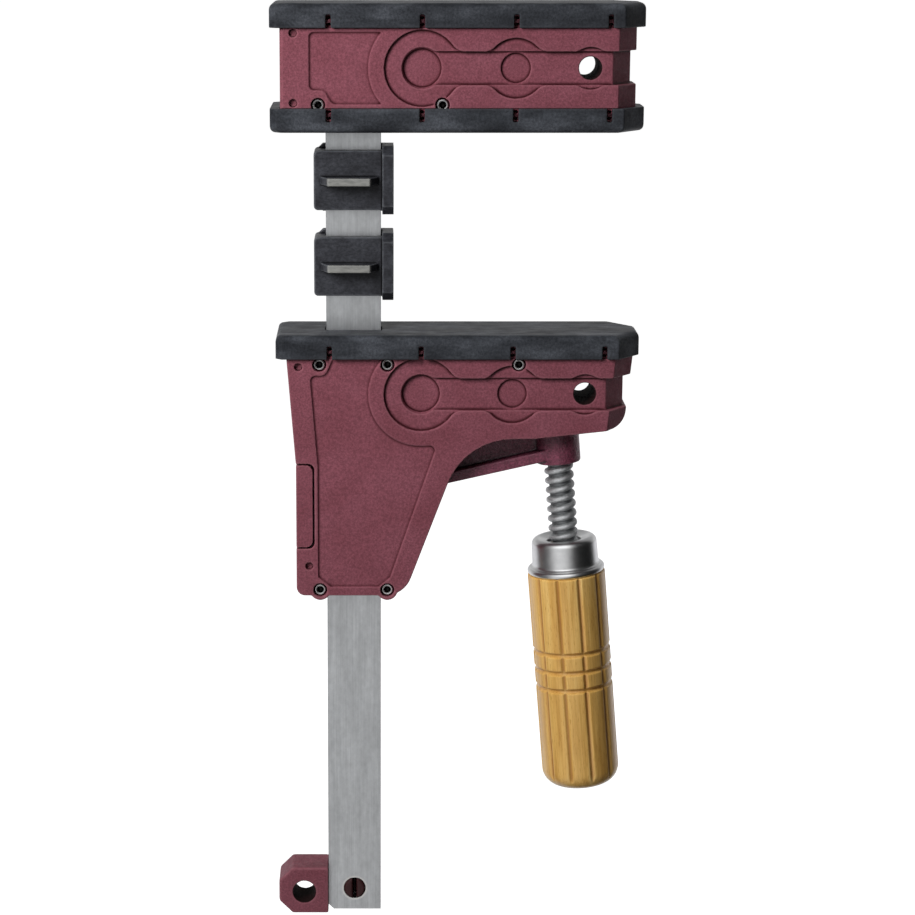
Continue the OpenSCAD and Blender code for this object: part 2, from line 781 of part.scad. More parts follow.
// The front half of the moving jaw, without what differs between front and rear
module moving_half() {
    difference() {
        intersection() {
            along_y(-half_body, 0) moving_outline();
            leaned() along_bar(moving_z1 - 2 * housing_h, moving_z1 + housing_h)
                polygon(jaw_plan(-housing_h, moving_x1, half_body, body_nose_cut, body_back_cut));
        }
        rim_cut(moving_x0, moving_x1, moving_face_z - pad_h, moving_z1 + over);
        relief(moving_mid_z, moving_x0, nose_x(moving_mid_z));
        along_y(-half_body - over, -half_body + panel_depth) moving_panel();
        along_y(-half_bay, over) arm_bay();
        slab(bay_x0, core_x1, -half_bay, over, core_z0 - over, core_z1);
        slab(heel_bay_x, 0, -half_bay, over,
            pivot_z - collar_h / 2 - heel_room, pivot_z + collar_h / 2 + heel_room);
        along_y(-half_body - over, over) heel_outline(heel_gap);
        slab(-half_bar_w - bar_gap, half_bar_w + bar_gap, -half_bar_t - bar_gap, over,
             housing_z0 - over, moving_z1 + over);
        y_rod([0, pivot_z], trunnion_r + run_gap, -half_bay - trunnion_depth - seat_gap, 0);
        y_rod([hole_x, moving_mid_z], tip_hole_r, -half_body - over, over);
        pockets(moving_face_z - pad_h + catch_rise);
    }
    catches(moving_face_z - pad_h + catch_rise);
}

// Side outline of the heel cover, grown by a gap
module heel_outline(gap) {
    x0 = housing_x0 - (gap > 0 ? over : 0);
    polygon(rounded([
        [x0, heel_mid_z - heel_h / 2 - gap, 0], [heel_x1 + gap, heel_mid_z - heel_h / 2 - gap, heel_corner],
        [heel_x1 + gap, heel_mid_z + heel_h / 2 + gap, heel_corner], [x0, heel_mid_z + heel_h / 2 + gap, 0]
    ]));
}

module moving_jaw_front_shell() {
    color(wine) placed() difference() {
        moving_half();
        front_holes(moving_screws, moving_pegs);
    }
}

module moving_jaw_rear_shell() {
    color(wine) placed() {
        difference() {
            rear() moving_half();
            for (s = moving_screws) y_rod(s, screw_r, -over, screw_tail);
        }
        pegs(moving_pegs);
    }
}

module moving_jaw_pad() {
    color(black) placed() translate([0, 0, moving_face_z]) pad(moving_pad_x0, moving_x0, moving_x1, true);
}

module moving_jaw_screws() {
    color(steel) placed() shell_screws(moving_screws);
}

guide_x = half_bar_w + guide_wall_x;
guide_y = half_bar_t + guide_wall_y;

// Room for the bar through a piece, with a gap all round
module bar_window(gap_x, gap_y, z0, z1) {
    slab(-half_bar_w - gap_x, half_bar_w + gap_x, -half_bar_t - gap_y, half_bar_t + gap_y, z0, z1);
}

module moving_jaw_core() {
    color(iron) placed() difference() {
        union() {
            slab(bay_x0, core_block_x, -half_bay, half_bay, core_z0, core_z1);
            slab(core_block_x, core_x1, -fixed_web, fixed_web, core_z0, core_z1);
            for (z = [core_z0, core_z1 - core_flange]) {
                slab(core_block_x, core_x1, -half_bay, half_bay, z, z + core_flange);
            }
        }
        bar_window(bar_gap, bar_gap, core_z0 - over, core_z1 + over);
        slab(-guide_x, guide_x, -guide_y, guide_y, core_z0 - over, guide_top_z);
        for (i = [0 : 2]) y_rod(moving_screws[i], screw_r, -half_bay - over, half_bay + over);
    }
}

module upper_guide_block() {
    color(steel) placed() difference() {
        slab(-guide_x, guide_x, -guide_y, guide_y, core_z0, guide_top_z);
        bar_window(slide_gap, slide_gap, core_z0 - over, guide_top_z + over);
    }
}

module lower_guide_block() {
    color(steel) placed() difference() {
        slab(-guide_x, guide_x, -half_bay, half_bay, lower_guide_z0, lower_guide_z0 + lower_guide_h);
        bar_window(slide_gap, slide_gap, lower_guide_z0 - over, lower_guide_z0 + lower_guide_h + over);
    }
}

module thrust_plate() {
    color(steel) placed() slab(plate_x0, plate_x1, -half_bay, half_bay, plate_z0, core_z0);
}

module heel_cover() {
    color(wine) placed() difference() {
        along_y(-half_body, half_body) heel_outline(0);
        slab(housing_x0 + heel_back, heel_x1 + over, -half_bay, half_bay, housing_z0, moving_z1);
    }
}

// Arm and screw

boss_x = tip_x + (boss_top + boss_len) * sin(screw_tilt);
boss_foot_z = tip_z - (boss_top + boss_len) * cos(screw_tilt);
arm_slope = atan((boss_foot_z + arm_seat - arm_foot_z) / (boss_x - collar_x));

// Height of the arm's lower edge at place x
function arm_low(x) = arm_foot_z + (x - collar_x) * tan(arm_slope);

// A strip of the arm from one place to another, between two heights above its lower edge
module arm_strip(x0, x1, h0, h1, half_y) {
    along_y(-half_y, half_y)
        polygon([
            [x0, arm_low(x0) + h0], [x1, arm_low(x1) + h0],
            [x1, arm_low(x1) + h1], [x0, arm_low(x0) + h1]
        ]);
}

module clamping_arm() {
    x0 = collar_x - over;
    x1 = tip_x + boss_len * sin(screw_tilt);
    color(wine) placed() difference() {
        union() {
            slab(-collar_x, collar_x, -collar_y, collar_y, pivot_z - collar_h / 2, pivot_z + collar_h / 2);
            y_rod([0, pivot_z], trunnion_r, -half_bay - trunnion_depth, half_bay + trunnion_depth);
            arm_strip(x0, x1, 0, arm_h, arm_web);
            arm_strip(x0, x1, 0, arm_flange_t, arm_flange_y);
            arm_strip(x0, x1, arm_h - arm_flange_t, arm_h, arm_flange_y);
            on_screw_axis() translate([0, 0, -boss_top - boss_len]) cylinder(r = boss_r, h = boss_len);
        }
        bar_window(collar_gap_x, collar_gap_y, pivot_z - collar_h, pivot_z + collar_h);
        on_screw_axis() {
            translate([0, 0, -2 * boss_len]) cylinder(r = thread_r + 0.15, h = 2 * boss_len);
            translate([0, 0, -boss_top]) cylinder(r = boss_r + 2, h = boss_top * 2);
        }
    }
}

module thrust_shoe() {
    dome = shoe_r * 1.5;
    color(steel) placed() on_screw_axis() difference() {
        intersection() {
            translate([0, 0, -shoe_len]) cylinder(r = shoe_r, h = shoe_len);
            translate([0, 0, -dome]) sphere(r = dome);
        }
        translate([0, 0, -shoe_len - over]) cylinder(r = neck_r + run_gap, h = shoe_bore + over);
    }
}

module screw_spindle() {
    thread_top = shoe_len + seat_gap;
    thread_len = ferrule_drop - thread_top + ferrule_wall;
    turns = thread_len / thread_pitch;
    core_r = thread_r - thread_depth / 2;
    color(steel) placed() on_screw_axis() {
        translate([0, 0, -shoe_len + shoe_bore - seat_gap - neck_len]) cylinder(r = neck_r, h = neck_len);
        translate([0, 0, -thread_top - thread_len])
            linear_extrude(height = thread_len, twist = -360 * turns, slices = ceil(turns * 8), $fn = 16)
                translate([thread_depth / 2, 0]) circle(core_r);
        translate([0, 0, -grip_top - tang_len]) cylinder(r = tang_r, h = grip_top + tang_len - ferrule_drop);
    }
}

module handle_ferrule() {
    dish_r = 8.4;
    dish = 1;
    color(steel) placed() on_screw_axis() translate([0, 0, -grip_top]) difference() {
        rotate_extrude() polygon([
            [0, 0], [flange_r, 0], [flange_r, flange_h], [ferrule_r, flange_h],
            [ferrule_r, flange_h + ferrule_h - 1], [ferrule_r - 1, flange_h + ferrule_h],
            [dish_r, flange_h + ferrule_h], [dish_r - dish, flange_h + ferrule_h - dish],
            [0, flange_h + ferrule_h - dish]
        ]);
        translate([0, 0, -over]) cylinder(r = thread_r + run_gap, h = ferrule_h * 3);
        translate([0, 0, -over]) cylinder(r = ferrule_r - ferrule_wall, h = flange_h + ferrule_h - 3 + over);
    }
}

module handle_grip() {
    tenon_r = ferrule_r - ferrule_wall - run_gap;
    tenon_h = flange_h + ferrule_h - 3.2;
    ring = grip_r - groove_depth;
    grooves = [for (i = [0 : 2]) each let (d = -groove_drop - i * groove_pitch) [
        [grip_r, d + groove_w / 2], [ring, d + groove_w / 4],
        [ring, d - groove_w / 4], [grip_r, d - groove_w / 2]
    ]];
    rounding = [for (i = [0 : 6]) let (a = 15 * i)
        [grip_r - grip_end_r + grip_end_r * cos(a), -grip_len + grip_end_r - grip_end_r * sin(a)]];
    profile = concat([[0, tenon_h], [tenon_r, tenon_h], [tenon_r, 0], [grip_r, 0]], grooves, rounding,
                     [[0, -grip_len]]);
    color(beech) placed() on_screw_axis() translate([0, 0, -grip_top]) difference() {
        rotate_extrude() polygon(profile);
        translate([0, 0, -tang_len - seat_gap]) cylinder(r = tang_r + run_gap, h = tang_len + tenon_h + 2);
        for (i = [0 : flute_count - 1]) rotate([0, 0, flute_turn + 360 * i / flute_count])
            translate([grip_r, 0, 0]) rotate([0, 0, 45])
                cube([flute_depth * sqrt(2), flute_depth * sqrt(2), 3 * grip_len], center = true);
    }
}

// Supports

// Outline of a support's flange, seen along the jaw, with cut corners
module flange_outline(half_y) {
    half_z = support_flange_h / 2;
    polygon([for (s = [[-1, -1], [1, -1], [1, 1], [-1, 1]]) each
        let (along = [s[0] * half_y, s[1] * (half_z - support_cut)],
             across = [s[0] * (half_y - support_cut), s[1] * half_z])
        s[0] * s[1] > 0 ? [along, across] : [across, along]]);
}

// Outline of a support's block, seen from the front, with round corners at its free end
module front_plate(x0, x1) {
    half_z = support_h / 2;
    polygon(rounded([
        [x0, -half_z, support_round], [x1, -half_z, 0], [x1, half_z, 0], [x0, half_z, support_round]
    ]));
}

// Outline of a support's plate behind the bar, seen from the front, with cut corners at its free end
module back_plate(x0, x1) {
    half_z = support_flange_h / 2;
    polygon([[x1, -half_z], [x1, half_z], [x0 + support_cut, half_z], [x0, half_z - support_cut],
             [x0, -half_z + support_cut], [x0 + support_cut, -half_z]]);
}

// A support whose middle lies at z = 0: plates round the bar, a flange on the jaws' side and a finger fin
module bar_support() {
    fin_x0 = support_x0 + 2.5;
    fin_x1 = half_bar_w - 1;
    fin_y = -support_y - fin_reach;
    fin_taper = 3.4;
    flange_x1 = support_x1 + support_flange_t;
    flange_y = support_y + support_flange_lip;
    difference() {
        union() {
            along_y(-support_y, support_y) front_plate(support_x0, support_x1 + over);
            along_y(half_bar_t + slide_gap, support_y) back_plate(support_x0, support_x1 + over);
            translate([support_x1, 0, 0]) rotate([90, 0, 90]) linear_extrude(support_flange_t)
                flange_outline(flange_y);
            along_bar(-fin_t / 2, fin_t / 2)
                polygon([[fin_x0, -support_y + over], [fin_x0, -support_y], [fin_x0 + fin_taper, fin_y],
                         [fin_x1 - fin_taper, fin_y], [fin_x1, -support_y], [fin_x1, -support_y + over]]);
        }
        bar_window(slide_gap, slide_gap, -support_flange_h, support_flange_h);
    }
}

module upper_bar_support() {
    color(black) placed() translate([0, 0, upper_support_z]) bar_support();
}

module lower_bar_support() {
    color(black) placed() translate([0, 0, lower_support_z]) bar_support();
}

bar();
fixed_jaw_core();
fixed_jaw_lock_pin();
fixed_jaw_front_shell();
fixed_jaw_rear_shell();
fixed_jaw_upper_pad();
fixed_jaw_lower_pad();
fixed_jaw_screws();
end_stop();
moving_jaw_front_shell();
moving_jaw_rear_shell();
moving_jaw_pad();
moving_jaw_screws();
moving_jaw_core();
upper_guide_block();
lower_guide_block();
thrust_plate();
heel_cover();
clamping_arm();
thrust_shoe();
screw_spindle();
handle_ferrule();
handle_grip();
upper_bar_support();
lower_bar_support();
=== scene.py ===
"""Looks of the parallel clamp: moulded shells and pads, drawn bar, thread, ferrule and wooden handle."""
import json
import math

import bmesh
import bpy
import numpy as np
from mathutils import Matrix, Vector

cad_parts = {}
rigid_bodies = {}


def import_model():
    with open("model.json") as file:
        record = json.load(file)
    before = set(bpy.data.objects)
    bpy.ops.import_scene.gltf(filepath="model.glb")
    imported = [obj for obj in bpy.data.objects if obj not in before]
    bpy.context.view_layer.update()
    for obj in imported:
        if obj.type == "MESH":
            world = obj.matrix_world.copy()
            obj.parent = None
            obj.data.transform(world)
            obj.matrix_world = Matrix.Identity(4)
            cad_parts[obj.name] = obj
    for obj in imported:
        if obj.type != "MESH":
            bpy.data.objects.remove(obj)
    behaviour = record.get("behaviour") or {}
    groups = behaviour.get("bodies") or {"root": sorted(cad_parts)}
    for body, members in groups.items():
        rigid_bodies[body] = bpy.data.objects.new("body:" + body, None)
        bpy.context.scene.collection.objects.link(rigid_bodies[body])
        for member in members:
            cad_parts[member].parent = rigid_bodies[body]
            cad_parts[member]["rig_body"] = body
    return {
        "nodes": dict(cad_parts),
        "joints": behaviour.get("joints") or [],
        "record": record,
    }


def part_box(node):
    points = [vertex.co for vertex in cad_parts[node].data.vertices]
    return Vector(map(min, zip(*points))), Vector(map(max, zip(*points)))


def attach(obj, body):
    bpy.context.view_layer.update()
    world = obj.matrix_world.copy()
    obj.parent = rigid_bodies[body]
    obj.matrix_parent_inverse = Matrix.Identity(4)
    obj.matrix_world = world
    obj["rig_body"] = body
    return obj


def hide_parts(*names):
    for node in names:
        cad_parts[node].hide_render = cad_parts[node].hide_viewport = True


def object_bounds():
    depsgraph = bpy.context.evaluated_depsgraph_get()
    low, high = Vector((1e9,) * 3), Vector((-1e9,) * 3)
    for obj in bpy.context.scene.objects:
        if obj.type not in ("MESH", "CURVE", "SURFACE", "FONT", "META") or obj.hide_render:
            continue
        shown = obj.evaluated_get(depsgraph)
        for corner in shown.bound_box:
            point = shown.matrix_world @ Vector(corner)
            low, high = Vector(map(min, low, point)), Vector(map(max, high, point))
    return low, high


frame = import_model()
cad_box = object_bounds()
scene = bpy.context.scene
nodes = frame["nodes"]
joints = {joint["name"]: joint for joint in frame["joints"]}
slots = {part["node"]: part["material_slot"] for part in frame["record"]["subparts"]}
bores = {mount["name"]: mount for mount in frame["record"]["mounts"] if mount["kind"] == "bore"}
MM = 0.001

# Camera, as the photograph was taken: the lens and the axis's column are in pixels of a picture PICTURE wide
PICTURE = 915
FOCAL_PX = 2531
AXIS_COLUMN = 375.5
SENSOR = 36
NEAREST = 0.01
FARTHEST = 100
PITCH = math.radians(12.213)
CAMERA_AT = Vector((-32.2, -1010.56, 413.25)) * MM

# Sizes of the turned pieces, in millimetres, with heights along the screw's axis from its tip
THREAD_R = 6.0
THREAD_DEPTH = 1.6
THREAD_PITCH = 4.0
THREAD_TOP = -5.3
THREAD_RUN_OUT = 2.5
NECK_R = 2.9
NECK_LEN = 3.0
TANG_R = 4.9
TANG_LEN = 20
FERRULE_TOP = -55.8
FERRULE_R = 13.4
FERRULE_H = 12.0
FERRULE_HOLE = 6.6
FERRULE_DISH = 3.2
FERRULE_WALL = 1.3
SHOULDER_R = 2.6
FLANGE_H = 2.8
FLANGE_ROOT_R = 1.2
GRIP_TOP = FERRULE_TOP - FERRULE_H - FLANGE_H
GRIP_R = 15.9
GRIP_LEN = 91.3
GRIP_BOTTOM = GRIP_TOP - GRIP_LEN
GRIP_EDGE_R = 0.7
GRIP_END_R = 7.0
FLUTES = 11
FLUTE_DEPTH = 0.9
FLUTE_TURN = math.radians(23)
GROOVES = 3
GROOVE_DROP = 32.2
GROOVE_PITCH = 7.65
GROOVE_DEPTH = 1.0
GROOVE_W = 2.2

# Screw heads: shares of the head's radius, then its height, the socket's depth and its cone in millimetres
SOCKET_SHARE = 0.56
LIP_SHARE = 0.22
SHANK_SHARE = 0.6
HEAD_H = 1.5
SOCKET_DEPTH = 2.0
SOCKET_CONE = 0.1

# The name under which meshes keep how deep each point lies in a corner: above 0 in a hollow, below 0 on an
# edge. Then the folds at which moulded pieces start to take dirt with painted shade in hollows, or wear with
# a painted highlight on edges, and have all of it
FOLD = "fold"
SHELL_DIRT_AND_SHADE = (0.03, 0.2)
SHELL_RUB_AND_HIGHLIGHT = (-0.06, -0.3)
SOFT_DIRT_AND_SHADE = (0.03, 0.2)
SOFT_RUB_AND_HIGHLIGHT = (-0.1, -0.4)

# The end stop's snap peg: a point on its axis, and its radius in millimetres
PEG_AT = ((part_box("bar")[0].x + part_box("bar")[1].x) / 2, 0, bores["end_stop_hole"]["pos_m"][2])
PEG_R = 4.5

# Room between the floor and the handle at the jaw's lowest place, for the rock of the arm
ROCK_ROOM = 12 * MM
FLOOR_REACH = 30

# The studio's middle as the floor mirrors it: right of the bar, so that the whole foot shows the white card
MIRROR_AT_X = PEG_AT[0] + 20 * MM

# The studio's brightness from left to right in front, and where its back begins and is full
CARD = [(0.0, 0.1), (0.05, 0.12), (0.15, 0.5), (0.3, 0.85), (0.42, 0.8),
        (0.55, 0.62), (0.66, 0.32), (0.75, 0.03), (1.0, 0.01)]
BACK_ZONE = (0.3, 0.6)

# Its brightness by height: as plain surroundings, as metal and gloss show it, and at the back wall
AMBIENT_BY_HEIGHT = [(0.0, 0.8), (0.1, 1.0), (0.3, 0.9), (0.45, 0.16), (1.0, 0.04)]
MIRRORED_BY_HEIGHT = [(0.0, 1.1), (0.1, 1.4), (0.3, 1.4), (0.5, 2.2), (0.75, 2.2), (0.9, 0.8), (1.0, 0.4)]
WALL_BY_HEIGHT = [(0.0, 0.45), (0.28, 0.5), (0.42, 0.2), (1.0, 0.1)]
AMBIENT_STRENGTH = 0.35

# Places of the mix node's colour sockets
MIX_FACTOR_IN = 0
MIX_FIRST_IN = 6
MIX_SECOND_IN = 7
MIX_OUT = 2


# Node trees

def new_material(name, base, rough, metal=0.0, specular=None):
    """A material with a Principled shader, given with its node tree and the shader."""
    material = bpy.data.materials.new(name)
    material.use_nodes = True
    shader = material.node_tree.nodes["Principled BSDF"]
    shader.inputs["Base Color"].default_value = (*base, 1)
    shader.inputs["Roughness"].default_value = rough
    shader.inputs["Metallic"].default_value = metal
    if specular is not None:
        shader.inputs["Specular IOR Level"].default_value = specular
    return material, material.node_tree, shader


def coordinates(tree, kind="Object"):
    """Where a point lies, in the coordinates of a kind."""
    return tree.nodes.new("ShaderNodeTexCoord").outputs[kind]


def along_axis(tree, vector, axis):
    """One of a vector's three numbers."""
    split = tree.nodes.new("ShaderNodeSeparateXYZ")
    tree.links.new(vector, split.inputs[0])
    return split.outputs[axis]


def vector_math(tree, operation, vector, other=None):
    """A vector put through an operation, with a constant vector where it takes one."""
    node = tree.nodes.new("ShaderNodeVectorMath")
    node.operation = operation
    tree.links.new(vector, node.inputs[0])
    if other is not None:
        node.inputs[1].default_value = other
    return node.outputs["Value" if operation == "LENGTH" else "Vector"]


def calculate(tree, operation, a, b):
    """The product, the larger or another result of two sockets' values."""
    node = tree.nodes.new("ShaderNodeMath")
    node.operation = operation
    for value, socket in zip((a, b), node.inputs):
        tree.links.new(value, socket)
    return node.outputs[0]


def place(tree, stretch=(1, 1, 1), lean=0.0):
    """Object coordinates in millimetres, leaned about y, then divided along each axis by a stretch."""
    vector = coordinates(tree)
    for name, value in (("Rotation", (0, lean, 0)), ("Scale", [1 / MM / s for s in stretch])):
        mapping = tree.nodes.new("ShaderNodeMapping")
        mapping.inputs[name].default_value = value
        tree.links.new(vector, mapping.inputs["Vector"])
        vector = mapping.outputs["Vector"]
    return vector


def noise(tree, size, detail=2.0, stretch=(1, 1, 1), rough=0.5, lean=0.0):
    """Soft noise whose patches are about size millimetres across."""
    node = tree.nodes.new("ShaderNodeTexNoise")
    node.inputs["Scale"].default_value = 1 / size
    node.inputs["Detail"].default_value = detail
    node.inputs["Roughness"].default_value = rough
    tree.links.new(place(tree, stretch, lean), node.inputs["Vector"])
    return node.outputs["Fac"]


def ramp(tree, value, stops):
    """A colour or grey looked up from a value, from stops of (place, colour)."""
    node = tree.nodes.new("ShaderNodeValToRGB")
    elements = node.color_ramp.elements
    while len(elements) < len(stops):
        elements.new(0.5)
    for element, (at, colour) in zip(elements, stops):
        element.position = at
        element.color = (*colour, 1) if isinstance(colour, tuple) else (colour, colour, colour, 1)
    tree.links.new(value, node.inputs["Fac"])
    return node.outputs["Color"]


def between(tree, value, low, high):
    """0 to 1 as a value goes from low to high."""
    node = tree.nodes.new("ShaderNodeMapRange")
    node.inputs["From Min"].default_value = low
    node.inputs["From Max"].default_value = high
    tree.links.new(value, node.inputs["Value"])
    return node.outputs["Result"]


def fold(tree, low, high):
    """0 to 1 as a point's fold goes from low to high, in millimetres."""
    node = tree.nodes.new("ShaderNodeAttribute")
    node.attribute_name = FOLD
    return between(tree, node.outputs["Fac"], low, high)


def blend(tree, how, amount, a, b):
    """Two colours mixed; amount, a and b are values or sockets."""
    node = tree.nodes.new("ShaderNodeMix")
    node.data_type = "RGBA"
    node.blend_type = how
    for value, at in ((amount, MIX_FACTOR_IN), (a, MIX_FIRST_IN), (b, MIX_SECOND_IN)):
        if isinstance(value, bpy.types.NodeSocket):
            tree.links.new(value, node.inputs[at])
        elif isinstance(value, tuple):
            node.inputs[at].default_value = (*value, 1)
        else:
            node.inputs[at].default_value = value
    return node.outputs[MIX_OUT]


def mixed(tree, amount, a, b):
    """One colour turning into another as an amount goes from 0 to 1."""
    return blend(tree, "MIX", amount, a, b)


def multiplied(tree, a, b):
    """Two colours multiplied."""
    return blend(tree, "MULTIPLY", 1.0, a, b)


def bump(tree, height, depth):
    """A normal bumped by a height of up to depth millimetres."""
    node = tree.nodes.new("ShaderNodeBump")
    node.inputs["Strength"].default_value = 1.0
    node.inputs["Distance"].default_value = depth * MM
    tree.links.new(height, node.inputs["Height"])
    return node.outputs["Normal"]


def near_axis(tree, at, none, full):
    """0 to 1 as the distance from an axis along y through a point falls from none to full, in millimetres."""
    away = vector_math(tree, "SUBTRACT", coordinates(tree), at)
    flat = vector_math(tree, "MULTIPLY", away, (1, 0, 1))
    return between(tree, vector_math(tree, "LENGTH", flat), none * MM, full * MM)


def in_bores(tree):
    """1 on the walls of the bores that the record's mounts name, 0 elsewhere."""
    found = None
    for mount in bores.values():
        wall = mount["dims"]["r_mm"]
        inside = near_axis(tree, mount["pos_m"], wall + 0.4, wall + 0.1)
        found = inside if found is None else calculate(tree, "MAXIMUM", found, inside)
    return found


def dress(tree, shader, colour=None, rough=None, normal=None):
    """Puts a pattern's sockets on a shader."""
    for socket, name in ((colour, "Base Color"), (rough, "Roughness"), (normal, "Normal")):
        if socket is not None:
            tree.links.new(socket, shader.inputs[name])


def worn_with_painted_light(tree, colour, dirt_and_shade, dirt_and_shade_from, dirt_and_shade_to, rub_and_highlight, rub_and_highlight_from, rub_and_highlight_to, spread=2.0):
    """A colour with dirt and painted shade in hollows and wear with a painted highlight on edges, each
    between the folds where it starts and is full.
    """
    patchy = ramp(tree, noise(tree, spread, 3), [(0.3, 0.35), (0.65, 1.0)])
    # painted shade with dirt in the hollows, then a painted highlight with wear on the edges, in patches
    dirty_and_shaded = mixed(tree, fold(tree, dirt_and_shade_from, dirt_and_shade_to), colour, dirt_and_shade)
    rubbed_and_highlit = calculate(tree, "MULTIPLY", fold(tree, rub_and_highlight_from, rub_and_highlight_to), patchy)
    return mixed(tree, rubbed_and_highlit, dirty_and_shaded, rub_and_highlight)


# Materials

def shell_plastic():
    """Wine-red moulded plastic with a fine spark-eroded texture, with painted shade in the bores and on the
    snap peg.
    """
    material, tree, shader = new_material("shell_plastic", (0.17, 0.045, 0.062), 0.5, specular=0.2)
    deep = (0.19, 0.0565, 0.0745)
    pale = (0.23, 0.0735, 0.0975)
    dirt_and_shade = (0.04, 0.006, 0.009)
    rub_and_highlight = (0.3, 0.115, 0.14)
    # painted shade: the snap peg, sunk in the bar's hole, and the bore walls are drawn dark as though in
    # shadow
    peg_shade = (0.04, 0.013, 0.014)
    peg_rough = (0.22, 0.22, 0.22)
    bore_shade = (0.012, 0.005, 0.005)
    bore_rough = (0.9, 0.9, 0.9)
    cloud = ramp(tree, noise(tree, 14, 3), [(0.3, deep), (0.7, pale)])
    speck = ramp(tree, noise(tree, 0.85, 4, rough=0.8), [(0.36, 0.72), (0.5, 1.0), (0.64, 1.3)])
    # dirt with painted shade in the hollows, wear with a painted highlight on the edges
    clean = worn_with_painted_light(tree, multiplied(tree, cloud, speck), dirt_and_shade, *SHELL_DIRT_AND_SHADE, rub_and_highlight, *SHELL_RUB_AND_HIGHLIGHT)
    satin = ramp(tree, noise(tree, 2.5, 3), [(0.3, 0.42), (0.7, 0.6)])
    # the bore walls and the snap peg take the painted shade colours
    bored = in_bores(tree)
    peg = near_axis(tree, PEG_AT, PEG_R + 0.2, PEG_R)
    dress(tree, shader,
          mixed(tree, bored, mixed(tree, peg, clean, peg_shade), bore_shade),
          mixed(tree, bored, mixed(tree, peg, satin, peg_rough), bore_rough),
          bump(tree, noise(tree, 0.7, 3, rough=0.65), 0.13))
    return material


def pad_plastic():
    """Black moulded plastic with a slight gloss, faint flow marks along the jaw and a bluish bloom."""
    material, tree, shader = new_material("pad_plastic", (0.02, 0.022, 0.026), 0.38, specular=0.12)
    deep = (0.022, 0.0237, 0.028)
    middle = (0.037, 0.04, 0.0468)
    bloom = (0.066, 0.071, 0.0825)
    dirt_and_shade = (0.003, 0.003, 0.004)
    rub_and_highlight = (0.05, 0.054, 0.06)
    flow = ramp(tree, noise(tree, 10, 3, (2.2, 1, 0.8), 0.5), [(0.36, deep), (0.5, middle), (0.64, bloom)])
    speck = ramp(tree, noise(tree, 1.0, 4, rough=0.75), [(0.36, 0.66), (0.64, 1.36)])
    # dirt with painted shade in the hollows, wear with a painted highlight on the edges and the crease
    dress(tree, shader,
          worn_with_painted_light(tree, multiplied(tree, flow, speck), dirt_and_shade, *SOFT_DIRT_AND_SHADE, rub_and_highlight, *SOFT_RUB_AND_HIGHLIGHT),
          ramp(tree, noise(tree, 4, 4, (2, 1, 1), 0.6), [(0.35, 0.38), (0.65, 0.52)]),
          bump(tree, noise(tree, 0.6, 3, rough=0.6), 0.035))
    return material


def bar_steel():
    """Drawn steel with a thin zinc coat: grain along the bar, dull patches, a painted highlight ring round
    the peg's hole.
    """
    material, tree, shader = new_material("bar_steel", (0.5, 0.51, 0.515), 0.42, 1.0)
    dull = (0.53, 0.543, 0.557)
    bright = (0.64, 0.653, 0.667)
    peg_rim_highlight = (0.74, 0.735, 0.72)
    grain = noise(tree, 0.7, 4, (1, 1, 60), 0.6)
    streaks = ramp(tree, grain, [(0.3, dull), (0.7, bright)])
    broad = ramp(tree, noise(tree, 4, 3, (1, 1, 7), 0.55), [(0.3, 0.87), (0.7, 1.08)])
    clouds = ramp(tree, noise(tree, 2.2, 4, (1, 1, 1.6), 0.7), [(0.32, 0.9), (0.68, 1.06)])
    drawn = multiplied(tree, multiplied(tree, streaks, broad), clouds)
    # painted highlight: a pale ring round the peg's hole, where a chamfer would catch the light
    rim = near_axis(tree, PEG_AT, PEG_R + 1.1, PEG_R + 0.6)
    dress(tree, shader, mixed(tree, rim, drawn, peg_rim_highlight),
          ramp(tree, grain, [(0.2, 0.4), (0.8, 0.5)]), bump(tree, grain, 0.006))
    return material


def bright_steel():
    """Bright zinc on small steel pieces, with painted shade, near black, in their sockets."""
    material, tree, shader = new_material("bright_steel", (0.6, 0.6, 0.6), 0.3, 1.0)
    dull = (0.42, 0.42, 0.42)
    bright = (0.62, 0.615, 0.61)
    socket_shade = (0.012, 0.011, 0.011)
    rub_and_highlight = (0.82, 0.82, 0.81)
    fine = noise(tree, 0.3, 3)
    ground = ramp(tree, noise(tree, 1.2, 3), [(0.3, dull), (0.7, bright)])
    # painted shade near black in the sockets, wear with a painted highlight on the rims
    dress(tree, shader, worn_with_painted_light(tree, ground, socket_shade, 0.05, 0.3, rub_and_highlight, -0.1, -0.3),
          ramp(tree, fine, [(0.2, 0.34), (0.8, 0.5)]), bump(tree, fine, 0.01))
    return material


def zinc_steel():
    """Rolled thread with satin zinc, with painted shade in the roots and a painted highlight on the crests.
    """
    material, tree, shader = new_material("zinc_steel", (0.5, 0.51, 0.515), 0.46, 1.0)
    dull = (0.62, 0.638, 0.648)
    bright = (0.78, 0.798, 0.808)
    root = (0.27, 0.281, 0.288)
    crest = (0.88, 0.89, 0.9)
    fine = noise(tree, 0.55, 4, (5, 5, 1), 0.65)
    cloud = ramp(tree, noise(tree, 2.0, 4, rough=0.6), [(0.3, dull), (0.7, bright)])
    ground = multiplied(tree, cloud, ramp(tree, fine, [(0.32, 0.6), (0.66, 1.15)]))
    # painted shade in the thread's roots, painted highlight on its crests
    dress(tree, shader, worn_with_painted_light(tree, ground, root, 0.1, 1.0, crest, -0.4, -1.0, 1.0),
          ramp(tree, fine, [(0.25, 0.56), (0.8, 0.7)]), bump(tree, fine, 0.09))
    return material


